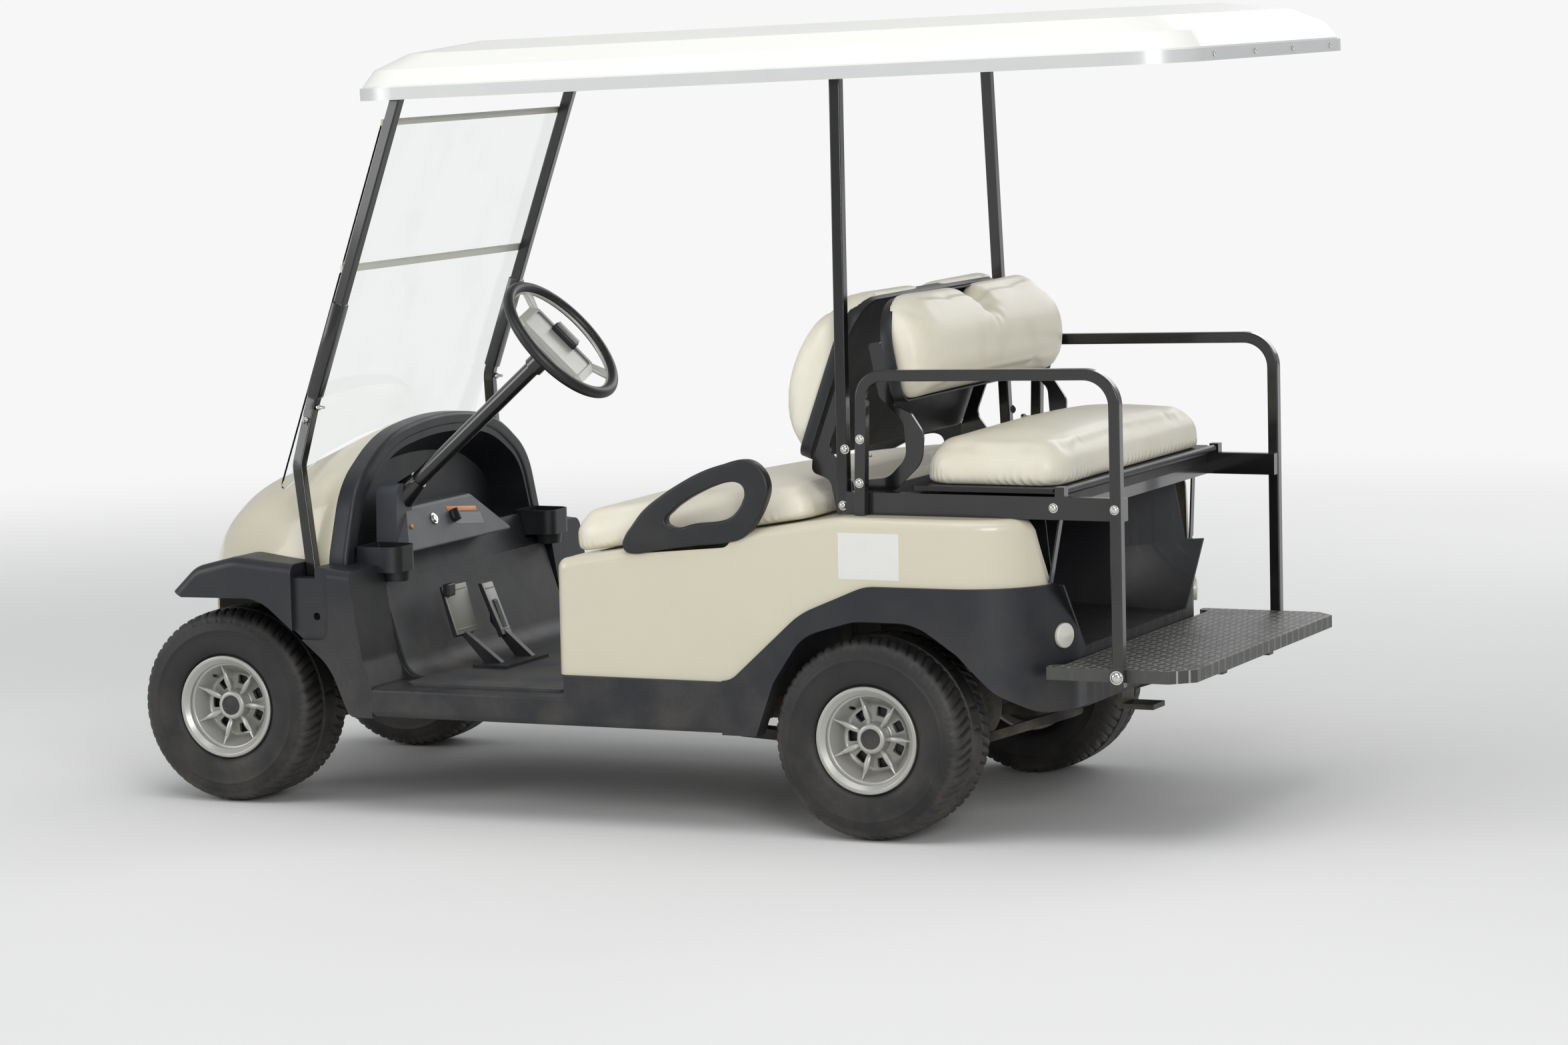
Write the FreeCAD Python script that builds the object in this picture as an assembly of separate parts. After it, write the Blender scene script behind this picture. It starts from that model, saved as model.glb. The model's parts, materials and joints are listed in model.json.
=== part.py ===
"""Electric golf cart with a rear-facing flip seat, as separate pieces.

Millimetres.  While a piece is drawn, X runs forward from the rear axle, Y to the
driver's side and Z up from the ground.  On writing, every piece is moved along X so
that the origin lies on the ground at the middle of the cart's length.
"""
import FreeCAD, Part
import math
import os

V = FreeCAD.Vector

# Running gear
wheelbase = 1664.0
track_front = 876.0
track_rear = 978.0
tyre_diameter = 457.0
tyre_width = 216.0
tyre_shoulder = 30.0
tyre_crown_drop = 3.0
tyre_bulge = 7.0
rim_flange_diameter = 228.0
rim_flange_width = 186.0
rim_flange_lip = 7.0
rim_barrel_wall = 6.0
rim_hub_base_diameter = 82.0
rim_hub_diameter = 68.0
rim_hub_height = 74.0
rim_bore_depth = 47.0
rim_dish_floor = 37.0
rim_dish_wall = 7.0
rim_dish_floor_radius = 75.0
rim_dish_rim_height = 79.0
rim_cap_diameter = 45.0
rim_cap_height = 72.5
rim_spoke_count = 7
rim_spoke_width = 11.0
rim_spoke_tip_width = 4.0
rim_window_inner_radius = 47.0
rim_window_outer_radius = 69.0
rim_window_half_width = 10.5
valve_hole_diameter = 11.0
valve_hole_radius = 83.0
spindle_diameter = 25.0
running_gap = 0.3

# Whole cart
front_overhang = 236.0
roof_rear_overhang = 766.0
body_half_width = 598.0
rear_body_overhang = 424.0
floor_top = 297.0
panel_wall = 5.0

# Steering
steer_limit = 28.0
kingpin_half_spacing = 318.0
kingpin_diameter = 18.0
knuckle_barrel_diameter = 42.0
knuckle_barrel_bottom = 181.0
knuckle_barrel_top = 277.0
yoke_ear_thickness = 18.0
yoke_ear_gap = 1.5
steer_arm_length = 112.0
tie_rod_diameter = 18.0
tie_rod_height = 168.0
column_tilt = 41.0
steering_wheel_centre = (884.0, 280.0, 1084.0)
steering_wheel_diameter = 345.0
steering_grip_diameter = 27.0
steering_dish = 42.0
column_tube_diameter = 38.0
column_length = 600.0

# Chassis
rail_half_spacing = 160.0
rail_width = 50.0
rail_height = 60.0
rail_bottom = 205.0
rail_rear_bottom = 345.0
rail_front_end = 1765.0
rail_rear_end = -400.0
leaf_half_spacing = 300.0
leaf_width = 50.0
leaf_thickness = 22.0
tower_half_spacing = 345.0
outrigger_reach = 536.0

# Floor and sills
floor_thickness = 32.0
floor_front = 1236.0
floor_rear = 740.0
sill_bottom = 228.0
toe_board_top = 600.0
toe_board_lean = 96.0
mat_thickness = 6.0
mat_half_width = 525.0
sill_depth = 60.0

# Front bodywork
cowl_rear = 1392.0
cowl_wall = 5.0
cowl_bottom = 330.0
fender_inner = 430.0
arch_outer = (502.0, 586.0, 880.0)
arch_inner = (457.0, 586.0, 848.0)
arch_frame_depth = 46.0
arch_leg_bottom = 556.0
bay_depth = 90.0
bay_floor = 560.0
bumper_front = 1900.0
bumper_half_width = 186.0
bumper_bottom = 262.0
bumper_wall = 6.0
tray_bottom = 548.0
tray_top = 608.0
tray_inner_side = 350.0
cup_centre = (1274.0, 396.0)
cup_bottom = 524.0

# Rear bodywork
body_front = 760.0
body_bottom = 348.0
body_top_front = 610.0
body_top_bend = 60.0
body_top_rear = 724.0
body_inset = 8.0
top_rounding = 24.0
rear_fender_front = 345.0
rear_fender_bottom = 287.0
tail_corner = (-345.0, 200.0)
tail_edge_foot = -388.0
tail_edge_top = -366.0
fender_top_rear = 574.0
bag_well_half_width = 325.0
bag_well_floor = 434.0
bag_well_front = -70.0
mouth_half_width = 462.0
mouth_flare_start = -240.0

# Seats
seat_half_width = 548.0
seat_rear = 140.0
seat_back_half_width = 455.0
restraint_thickness = 30.0
plate_half_spacing = 437.0
plate_thickness = 8.0

# Rear seat frame, grab rails and foot plate
tube = 25.4
frame_rail_height = 50.0
frame_rail_top = 774.0
frame_rail_half_spacing = 506.0
rear_strut_foot = 80.0
frame_rail_front = rear_strut_foot - tube / 2
frame_rail_rear = -589.0
deck_rear = -424.0
hinge_x = -440.0
hinge_z = 784.5
hinge_pin_diameter = 10.0
hinge_barrel_diameter = 17.0
flip_pan_top = 790.0
flip_pan_front = -80.0
plate_front = -401.0
plate_notch_depth = 28.0
plate_notch_half_width = 470.0
plate_rear = -735.0
plate_top = 400.0
plate_edge = 28.0
plate_sheet = 4.0
plate_corner = 48.0
grab_rail_top = 1040.0
grab_rail_front = 16.0
post_x = -577.0

# Roof and its struts
roof_front = 1272.0
roof_half_width = 585.0
roof_corner_radius = 130.0
roof_edge_height = 1691.0
roof_slope = 1.88
roof_skirt = 30.0
roof_crown = 122.0
roof_wall = 6.0
trim_thickness = 6.0
trim_height = 28.0
front_strut_half_spacing = 447.0
front_strut_lean = 0.35
front_hoop_top = 1712.0
strut_foot_height = 452.0
rear_hoop_top = 1750.0
rear_strut_half_spacing = 496.0
rear_strut_top_half_spacing = 444.0

half_tube = tube / 2
tyre_radius = tyre_diameter / 2
origin_shift = (wheelbase + front_overhang - roof_rear_overhang) / 2
front_axle_x = wheelbase
wheel_plane_front = track_front / 2
wheel_plane_rear = track_rear / 2


def box(x0, x1, y0, y1, z0, z1):
    """Block between two corners."""
    return Part.makeBox(x1 - x0, y1 - y0, z1 - z0, V(x0, y0, z0))


def cylinder(radius, start, end):
    """Round bar from one point to another."""
    axis = V(*end) - V(*start)
    return Part.makeCylinder(radius, axis.Length, V(*start), axis)


def mirrored(shape):
    """The same piece on the other side of the cart."""
    return shape.mirror(V(0, 0, 0), V(0, 1, 0))


def pair(shape):
    """A piece and its mirror image, as two solids of one node."""
    return Part.makeCompound([shape, mirrored(shape)])


def fuse(shapes):
    """Join touching pieces into one solid."""
    return shapes[0].fuse(shapes[1:]).removeSplitter()


def rounded(points, closed=True):
    """Edges through (u, v, corner radius) points: straight runs joined by arcs."""
    count = len(points)
    corners = []
    for i, (u, v, radius) in enumerate(points):
        here = V(u, v, 0)
        if radius <= 0 or (not closed and i in (0, count - 1)):
            corners.append((here, None, here))
            continue
        to_last = V(points[i - 1][0], points[i - 1][1], 0) - here
        to_next = V(points[(i + 1) % count][0], points[(i + 1) % count][1], 0) - here
        to_last.normalize()
        to_next.normalize()
        half = to_last.getAngle(to_next) / 2
        run = radius / math.tan(half)
        middle = (to_last + to_next).normalize()
        centre = here + middle * (radius / math.sin(half))
        corners.append((here + to_last * run, centre - middle * radius, here + to_next * run))
    edges = []
    for i, (arc_start, arc_middle, arc_end) in enumerate(corners):
        if arc_middle is not None:
            edges.append(Part.Arc(arc_start, arc_middle, arc_end).toShape())
        if i == count - 1 and not closed:
            break
        next_start = corners[(i + 1) % count][0]
        if (next_start - arc_end).Length > 1e-6:
            edges.append(Part.LineSegment(arc_end, next_start).toShape())
    return Part.Wire(edges)


PLANES = {
    "XY": FreeCAD.Placement(V(0, 0, 0), FreeCAD.Rotation()),
    "XZ": FreeCAD.Placement(V(0, 0, 0), FreeCAD.Rotation(V(1, 0, 0), 90)),
    "YZ": FreeCAD.Placement(V(0, 0, 0), FreeCAD.Rotation(V(1, 1, 1), 120)),
}
NORMALS = {"XY": V(0, 0, 1), "XZ": V(0, 1, 0), "YZ": V(1, 0, 0)}


def drawn(plane, at, points):
    """A closed outline in a plane, at a distance along its normal."""
    wire = rounded(points)
    wire.Placement = PLANES[plane]
    wire.translate(NORMALS[plane] * at)
    return wire


def strip(points, thickness):
    """Closed outline of a sheet that follows an open path, on the path's left side."""
    inside = []
    count = len(points)
    for i, (u, v, radius) in enumerate(points):
        here = V(u, v, 0)
        before = here - V(points[i - 1][0], points[i - 1][1], 0) if i else None
        after = V(points[i + 1][0], points[i + 1][1], 0) - here if i < count - 1 else None
        before = (before or after).normalize()
        after = (after or before).normalize()
        left_before = V(-before.y, before.x, 0)
        left_after = V(-after.y, after.x, 0)
        mitre = (left_before + left_after) * (1 / (1 + left_before.dot(left_after)))
        turn = before.cross(after).z
        inner_radius = max(radius - math.copysign(thickness, turn), 0) if radius > 0 else 0
        inside.append((u + mitre.x * thickness, v + mitre.y * thickness, inner_radius))
    return list(points) + inside[::-1]


def slab(plane, start, end, points):
    """An outline in a plane, extruded from start to end along the plane's normal."""
    return Part.Face(drawn(plane, start, points)).extrude(NORMALS[plane] * (end - start))


def loft(wires, ruled=False):
    """A closed solid through outlines that have the same number of edges."""
    return Part.makeLoft(wires, True, ruled)


def turned(profile):
    """A profile of (radius, distance along the axle) turned about the Y axis."""
    points = [(radius, along, corner) for radius, along, corner in profile]
    wire = drawn("XY", 0, points)
    return Part.Face(wire).revolve(V(0, 0, 0), V(0, 1, 0), 360)


def path_edges(points):
    """Line and arc edges through (x, y, z, bend radius) points in space."""
    ends = []
    for i, (x, y, z, radius) in enumerate(points):
        here = V(x, y, z)
        if radius <= 0 or i in (0, len(points) - 1):
            ends.append((here, None, here))
            continue
        to_last = (V(*points[i - 1][:3]) - here).normalize()
        to_next = (V(*points[i + 1][:3]) - here).normalize()
        half = to_last.getAngle(to_next) / 2
        run = radius / math.tan(half)
        middle = (to_last + to_next).normalize()
        centre = here + middle * (radius / math.sin(half))
        ends.append((here + to_last * run, centre - middle * radius, here + to_next * run))
    edges = []
    for i, (arc_start, arc_middle, arc_end) in enumerate(ends):
        if arc_middle is not None:
            edges.append(Part.Arc(arc_start, arc_middle, arc_end).toShape())
        if i < len(ends) - 1:
            edges.append(Part.LineSegment(arc_end, ends[i + 1][0]).toShape())
    return edges


def swept(points, side_a, side_b, corner, up):
    """A rectangular tube along a bent path; side_b lies along the up direction."""
    edges = path_edges(points)
    start = V(*points[0][:3])
    along = (V(*points[1][:3]) - start).normalize()
    across = along.cross(V(*up)).normalize()
    upward = across.cross(along)
    a, b = side_a / 2, side_b / 2
    wire = rounded([(-a, -b, corner), (a, -b, corner), (a, b, corner), (-a, b, corner)])
    matrix = FreeCAD.Matrix(across.x, upward.x, along.x, start.x,
                            across.y, upward.y, along.y, start.y,
                            across.z, upward.z, along.z, start.z,
                            0, 0, 0, 1)
    wire.Placement = FreeCAD.Placement(matrix)
    return Part.Wire(edges).makePipeShell([wire], True, False)


def round_swept(points, radius):
    """A round bar along a bent path."""
    edges = path_edges(points)
    start = V(*points[0][:3])
    along = (V(*points[1][:3]) - start).normalize()
    wire = Part.Wire(Part.Circle(start, along, radius).toShape())
    return Part.Wire(edges).makePipeShell([wire], True, False)


def save(name, shape):
    """Move a finished piece to the cart's origin and write it."""
    moved = shape.copy()
    moved.translate(V(-origin_shift, 0, 0))
    moved.exportStep("parts/" + name + ".step")
    print(name, len(moved.Solids), round(moved.Volume / 1e6, 3), moved.isValid())


# Wheels: one tyre and one cast wheel, moved to the four corners

def tyre():
    """Low, wide tyre on the Y axis, centred on its plane."""
    half = tyre_width / 2
    bead_radius = rim_flange_diameter / 2 - rim_flange_lip
    tread_radius = tyre_radius - tyre_crown_drop
    sidewall = half - tyre_bulge
    bead = rim_flange_width / 2 - 2 - running_gap
    over_flange = rim_flange_diameter / 2 + 8
    section = [
        (bead_radius, -bead, 4),
        (over_flange, -bead, 0),
        (over_flange + 8, -sidewall, 0),
        (tyre_radius - 62, -half, 40),
        (tread_radius - 2, -half + 6, tyre_shoulder),
        (tyre_radius, 0, 500),
        (tread_radius - 2, half - 6, tyre_shoulder),
        (tyre_radius - 62, half, 40),
        (over_flange + 8, sidewall, 0),
        (over_flange, bead, 0),
        (bead_radius, bead, 4),
    ]
    return turned(section)


def rim():
    """Dished wheel with seven raised spokes and a hub, its outer face towards +Y."""
    flange = rim_flange_diameter / 2
    half = rim_flange_width / 2
    seat = flange - rim_flange_lip
    well = seat - 14
    wall = rim_barrel_wall
    barrel = turned([
        (flange + 7, -half - 6, 3), (flange + 7, -half, 2), (seat - running_gap, -half + 2, 3),
        (seat - running_gap, -half + 34, 4), (well, -half + 48, 4), (well, half - 60, 4),
        (seat - running_gap, half - 44, 4), (seat - running_gap, half - 2, 3),
        (flange + 7, half, 2), (flange + 7, half + 6, 3), (flange - 1, half + 6, 4),
        (seat - wall, half - 4, 4), (seat - wall, half - 42, 4), (well - wall, half - 62, 4),
        (well - wall, -half + 46, 4), (seat - wall, -half + 32, 4), (seat - wall, -half + 2, 4),
        (flange - 1, -half - 6, 4),
    ])
    floor, floor_radius = rim_dish_floor, rim_dish_floor_radius
    top = rim_dish_rim_height
    base = rim_hub_base_diameter / 2
    hub = rim_hub_diameter / 2
    cap = rim_cap_diameter / 2
    bore = spindle_diameter / 2 + running_gap
    join = seat - wall + 1
    disc = turned([
        (bore, 0, 0), (base, 0, 3), (base, floor - 13, 6), (floor_radius - 3, floor - rim_dish_wall, 12),
        (join - 9, top - 15, 10), (join, top - 9, 0), (join, top + 1, 0), (join - 5, top, 4),
        (floor_radius, floor, 12), (hub, floor, 5), (hub, rim_hub_height, 7),
        (cap + 1, rim_hub_height, 1), (cap + 1, rim_hub_height - 4, 0), (cap, rim_hub_height - 4, 0),
        (cap, rim_cap_height, 2), (0, rim_cap_height, 0), (0, rim_bore_depth, 0), (bore, rim_bore_depth, 0),
    ])
    step = 360 / rim_spoke_count
    w, tip = rim_spoke_width / 2, rim_spoke_tip_width / 2
    half_window = rim_window_half_width
    spokes = []
    for i in range(rim_spoke_count):
        spoke = loft([drawn("YZ", at, [(low, -at_width, 0), (high, -at_width * 0.6, 0),
                                       (high, at_width * 0.6, 0), (low, at_width, 0)])
                      for at, low, high, at_width in ((hub - 6, floor - 4, 62, w),
                                                      (floor_radius - 1, floor - 4, 69, w),
                                                      (join - 4, top - 9, top - 2, tip))], True)
        spoke.rotate(V(0, 0, 0), V(0, 1, 0), (i + 0.5) * step)
        spokes.append(spoke)
        window = slab("XZ", 0, rim_hub_height, [
            (rim_window_inner_radius, -half_window, 3), (rim_window_outer_radius, -half_window - 3, 5),
            (rim_window_outer_radius, half_window + 3, 5), (rim_window_inner_radius, half_window, 3)])
        window.rotate(V(0, 0, 0), V(0, 1, 0), i * step)
        disc = disc.cut(window)
    valve = math.radians(step)
    x, z = valve_hole_radius * math.cos(valve), valve_hole_radius * math.sin(valve)
    disc = disc.cut(cylinder(valve_hole_diameter / 2, (x, 30, z), (x, 90, z)))
    return fuse([barrel, disc] + spokes)


def wheels():
    """Tyres and rims at the four corners; the drawn face looks outwards."""
    one_tyre = tyre()
    one_rim = rim()
    corners = [
        ("front", front_axle_x, wheel_plane_front),
        ("rear", 0.0, wheel_plane_rear),
    ]
    for place, x, plane in corners:
        for side, sign in (("left", 1), ("right", -1)):
            for name, shape in (("tyre", one_tyre), ("rim", one_rim)):
                piece = shape.copy()
                if sign < 0:
                    piece.rotate(V(0, 0, 0), V(0, 0, 1), 180)
                piece.translate(V(x, sign * plane, tyre_radius))
                save(name + "_" + place + "_" + side, piece)


# Steering and front suspension

def knuckle():
    """Left stub axle: barrel on the kingpin, wheel spindle and steering arm."""
    y = kingpin_half_spacing
    x = front_axle_x
    barrel = cylinder(knuckle_barrel_diameter / 2, (x, y, knuckle_barrel_bottom),
                      (x, y, knuckle_barrel_top))
    spindle_end = wheel_plane_front + rim_bore_depth - 5
    spindle = cylinder(spindle_diameter / 2, (x, y, tyre_radius), (x, spindle_end, tyre_radius))
    collar_end = wheel_plane_front - 2
    collar = cylinder(spindle_diameter / 2 + 7, (x, y, tyre_radius), (x, collar_end, tyre_radius))
    arm_y = y
    arm_x = x - steer_arm_length
    arm_bottom = knuckle_barrel_bottom
    arm = slab("XY", arm_bottom, arm_bottom + 14, [
        (x + 12, y - 14, 4), (x + 12, y + 10, 4), (arm_x - 4, arm_y + 14, 12), (arm_x - 16, arm_y, 10),
        (arm_x - 4, arm_y - 14, 12),
    ])
    body = fuse([barrel, collar, spindle, arm])
    pin_hole = cylinder(kingpin_diameter / 2 + running_gap, (x, y, knuckle_barrel_bottom - 5),
                        (x, y, knuckle_barrel_top + 5))
    stud_hole = cylinder(6 + running_gap, (arm_x, arm_y, arm_bottom - 5),
                         (arm_x, arm_y, arm_bottom + 20))
    return body.cut(pin_hole).cut(stud_hole)


def tie_rod():
    """Rod between the two steering arms, with a stud up through each arm."""
    arm_x = front_axle_x - steer_arm_length
    arm_y = kingpin_half_spacing
    arm_bottom = knuckle_barrel_bottom
    z = tie_rod_height
    rod = cylinder(tie_rod_diameter / 2, (arm_x, -arm_y, z), (arm_x, arm_y, z))
    pieces = [rod]
    for sign in (1, -1):
        eye_top = z + tie_rod_diameter / 2 + 2
        pieces.append(cylinder(13, (arm_x, sign * arm_y, z - 12), (arm_x, sign * arm_y, eye_top)))
        pieces.append(cylinder(6, (arm_x, sign * arm_y, z), (arm_x, sign * arm_y, arm_bottom + 22)))
        nut_base = arm_bottom + 14 + 1
        pieces.append(cylinder(9, (arm_x, sign * arm_y, nut_base),
                               (arm_x, sign * arm_y, nut_base + 9)))
    return fuse(pieces)


def front_suspension():
    """Transverse leaf, upper arms, dampers and the kingpins, joined at the yokes."""
    x = front_axle_x
    y = kingpin_half_spacing
    lower_ear_top = knuckle_barrel_bottom - yoke_ear_gap
    lower_ear_bottom = lower_ear_top - yoke_ear_thickness
    upper_ear_bottom = knuckle_barrel_top + yoke_ear_gap
    upper_ear_top = upper_ear_bottom + yoke_ear_thickness
    leaf_half_width = 34.0
    leaf_top = rail_bottom
    leaf = slab("YZ", x - leaf_half_width, x + leaf_half_width, [
        (-y + 10, lower_ear_bottom, 2), (0, leaf_top - leaf_thickness, 900), (y - 10, lower_ear_bottom, 2),
        (y - 10, lower_ear_top - 9, 2), (rail_half_spacing, leaf_top, 300),
        (-rail_half_spacing, leaf_top, 300), (-y + 10, lower_ear_top - 9, 2),
    ])
    half = []
    for sign in (1, -1):
        web_y = sign * (y - knuckle_barrel_diameter / 2 - 12)
        half.append(box(x - 5, x + 20, min(web_y, web_y + sign * 8), max(web_y, web_y + sign * 8),
                        lower_ear_bottom, upper_ear_top))
        for bottom in (lower_ear_bottom, upper_ear_bottom):
            ear = box(x - 20, x + 20, min(web_y, sign * y), max(web_y, sign * y), bottom,
                      bottom + yoke_ear_thickness)
            end = cylinder(20, (x, sign * y, bottom), (x, sign * y, bottom + yoke_ear_thickness))
            half += [ear, end]
        half.append(cylinder(kingpin_diameter / 2, (x, sign * y, lower_ear_bottom - 8),
                             (x, sign * y, upper_ear_top + 8)))
        inner = sign * (rail_half_spacing + rail_width / 2 + 10)
        arm = slab("XY", upper_ear_bottom, upper_ear_top, [
            (x - 90, inner, 8), (x + 90, inner, 8), (x + 20, web_y + sign * 6, 4),
            (x - 20, web_y + sign * 6, 4),
        ])
        half.append(arm)
        damper_y = sign * 248
        half.append(cylinder(19, (x - 6, damper_y, lower_ear_top - 4), (x - 6, damper_y - sign * 12, 330)))
        half.append(cylinder(11, (x - 6, damper_y - sign * 11, 320), (x - 6, damper_y - sign * 18, 420)))
    return fuse([leaf] + half)


def column_body(growth):
    """Outer form of the column tube, its collar and the boot at its foot."""
    tilt = math.radians(column_tilt)
    along = V(math.cos(tilt), 0, -math.sin(tilt))
    top = V(*steering_wheel_centre) + along * 52
    bottom = V(*steering_wheel_centre) + along * column_length
    radius = column_tube_diameter / 2 + growth
    column = cylinder(radius, tuple(top), tuple(bottom))
    collar = cylinder(radius + 5, tuple(top), tuple(top + along * 46))
    boot = Part.makeCone(radius + 3, 34 + growth, 60, bottom - along * 90, along)
    return fuse([column, collar, boot])


def steering_column():
    """Slanted column tube that carries the steering wheel's shaft."""
    tilt = math.radians(column_tilt)
    along = V(math.cos(tilt), 0, -math.sin(tilt))
    top = V(*steering_wheel_centre) + along * 52
    bore = cylinder(9 + running_gap, tuple(top - along * 5), tuple(top + along * 60))
    return column_body(0).cut(bore)


def steering_wheel():
    """Grip ring, paired spokes, centre pad with its clip, and the shaft's end."""
    ring = Part.makeTorus(steering_wheel_diameter / 2 - steering_grip_diameter / 2,
                          steering_grip_diameter / 2)
    ring_radius = steering_wheel_diameter / 2 - steering_grip_diameter / 2
    pad = Part.makeCylinder(58, 22, V(0, 0, -steering_dish + 16))
    pad = pad.makeFillet(6, [edge for edge in pad.Edges if edge.BoundBox.ZLength < 0.01])
    spokes = []
    for angle in (18, -18, 162, 198):
        direction = math.radians(angle)
        inner = V(40 * math.cos(direction), 40 * math.sin(direction), -steering_dish + 24)
        outer = V(ring_radius * math.cos(direction), ring_radius * math.sin(direction), -2)
        spoke = slab("YZ", 0, (outer - inner).Length, [
            (-11, -5, 3), (11, -5, 3), (11, 5, 3), (-11, 5, 3)])
        spoke.Placement = FreeCAD.Placement(inner, FreeCAD.Rotation(V(1, 0, 0), outer - inner)
                                            ).multiply(spoke.Placement)
        spokes.append(spoke)
    clip = box(-34, 34, -16, 16, -steering_dish + 36, -steering_dish + 50)
    clip = clip.makeFillet(5, clip.Edges)
    shaft = Part.makeCylinder(9, 60, V(0, 0, -steering_dish - 38))
    boss = Part.makeCone(34, 22, 20, V(0, 0, -steering_dish + 18), V(0, 0, -1))
    wheel = fuse([ring, pad, boss, shaft, clip] + spokes)
    wheel.rotate(V(0, 0, 0), V(0, 1, 0), -(90 - column_tilt))
    wheel.translate(V(*steering_wheel_centre))
    return wheel


# Chassis and rear axle

def chassis_frame():
    """Two rails that kick up over the rear axle, their crossmembers and the hitch."""
    kick_front, kick_rear = 330.0, 190.0
    z0, z1 = rail_bottom, rail_bottom + rail_height
    r0, r1 = rail_rear_bottom, rail_rear_bottom + rail_height
    pieces = []
    for sign in (1, -1):
        inner = sign * rail_half_spacing - rail_width / 2
        pieces.append(slab("XZ", inner, inner + rail_width, [
            (rail_front_end, z0, 6), (kick_front, z0, 60), (kick_rear, r0, 60), (rail_rear_end, r0, 6),
            (rail_rear_end, r1, 6), (kick_rear, r1, 60), (kick_front, z1, 60), (rail_front_end, z1, 6)]))
    span = rail_half_spacing
    crossings = [
        (rail_front_end - 50, z0 + 5, z1 - 5, span), (1500.0, z0 + 5, z1 - 5, span),
        (760.0, z0 + 5, z1 - 5, span), (345.0, z0 + 8, z1 - 5, span),
        (rail_rear_end, r0, r1, 322.0), (-240.0, r0, r1, 360.0), (-130.0, r0, r1, 322.0),
        (120.0, r0, r1, 358.0),
    ]
    for x, bottom, top, half in crossings:
        pieces.append(box(x, x + 45, -half, half, bottom, top))
    tray_bottom = z1 - 6
    pieces.append(box(350, 725, -340, 340, tray_bottom, z1 + 4))
    for x in (760.0, 1180.0):
        pieces.append(box(x, x + 40, -outrigger_reach, outrigger_reach, z0 + 20, z1))
    for sign in (1, -1):
        y = sign * leaf_half_spacing
        for x in (430.0, -395.0):
            pieces.append(box(x - 22, x + 22, min(sign * 130, y + sign * 24), max(sign * 130, y + sign * 24),
                              r0 - 60 if x < 0 else z0, r0 + 10 if x < 0 else z1))
        tower_y = sign * (rail_half_spacing + rail_width / 2)
        x = front_axle_x - 6
        pieces.append(box(x - 22, x + 22, min(tower_y - sign * 30, tower_y + sign * 2),
                          max(tower_y - sign * 30, tower_y + sign * 2), z1 - 10, 440))
        pieces.append(box(x - 22, x + 22, min(tower_y - sign * 30, sign * 244),
                          max(tower_y - sign * 30, sign * 244), 421, 440))
        for ex in (front_axle_x - 75, front_axle_x + 75):
            pieces.append(box(ex - 12, ex + 12, min(tower_y - sign * 10, tower_y + sign * 12),
                              max(tower_y - sign * 10, tower_y + sign * 12), z1 - 10,
                              knuckle_barrel_top + yoke_ear_gap))
    # towers under the rear seat's frame, up to the skin that it rests on
    for sign in (1, -1):
        for x in (130.0, -232.0):
            y = sign * tower_half_spacing
            top = body_top(x + 25) - panel_wall - running_gap
            pieces.append(box(x, x + 25, y - 12, y + 12, r1 - 4, top))
    # arms and bars that carry the foot plate
    arm_top = plate_top - plate_edge
    for sign in (1, -1):
        y = sign * rail_half_spacing
        pieces.append(box(plate_rear + 45, rail_rear_end + 20, y - 15, y + 15, arm_top - 25, arm_top))
    for x in (plate_rear + 45, -560.0):
        pieces.append(box(x, x + 30, -460, 460, arm_top - 4, plate_top - plate_sheet))
    hitch_x = rail_rear_end
    pieces.append(box(hitch_x - 75, hitch_x + 10, -38, 38, 238, 250))
    pieces.append(box(hitch_x, hitch_x + 12, -38, 38, 238, r0 + 10))
    frame = fuse(pieces)
    pin_hole = cylinder(8.0, (hitch_x - 50, 0, 220), (hitch_x - 50, 0, 260))
    return frame.cut(pin_hole)


def rear_axle():
    """Axle tube with its differential, brake drums and the two wheel stubs."""
    z = tyre_radius
    drum_outer = wheel_plane_rear - 26
    pieces = [
        cylinder(32, (0, -400, z), (0, 400, z)),
        turned([(0, -70, 0), (60, -70, 20), (96, -30, 30), (96, 30, 30), (60, 70, 20), (0, 70, 0)]),
    ]
    pieces[1].translate(V(0, 40, z))
    for sign in (1, -1):
        pieces.append(cylinder(80, (0, sign * 396, z), (0, sign * (drum_outer - 6), z)))
        pieces.append(cylinder(spindle_diameter / 2, (0, sign * 390, z),
                               (0, sign * (wheel_plane_rear + rim_bore_depth - 5), z)))
        y = sign * leaf_half_spacing
        pieces.append(box(-40, 40, y - 30, y + 30, z - 44, z - 10))
    return fuse(pieces)


def drive_motor():
    """Electric motor bolted to the front of the differential."""
    z = tyre_radius
    body = cylinder(88, (96 + running_gap, 40, z), (330, 40, z))
    return body.cut(box(90, 340, -60, 140, z + 75, z + 120))


def rear_springs():
    """Two arched leaf springs with dampers, from the frame over the axle's ends."""
    z = tyre_radius - 44
    leaves = []
    for sign in (1, -1):
        y0 = sign * leaf_half_spacing - leaf_width / 2
        leaf = slab("XZ", y0, y0 + leaf_width, [
            (-395, 262, 8), (-90, z - leaf_thickness, 260), (90, z - leaf_thickness, 260), (430, 181, 8),
            (430, rail_bottom, 8), (90, z, 240), (-90, z, 240), (-395, 284.5, 8)])
        damper_y = sign * leaf_half_spacing
        body = cylinder(19, (-72, damper_y, z - 10), (-92, damper_y, 270))
        rod = cylinder(9, (-92, damper_y, 268), (-106, damper_y, rail_rear_bottom - 2.5))
        leaves.append(fuse([leaf, body, rod]))
    return Part.makeCompound(leaves)


def battery_pack():
    """The row of batteries under the front seat, as one block."""
    bottom = rail_bottom + rail_height + 4
    return box(352, 720, -330, 330, bottom, bottom + 272)


# Floor, mat and pedals

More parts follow.
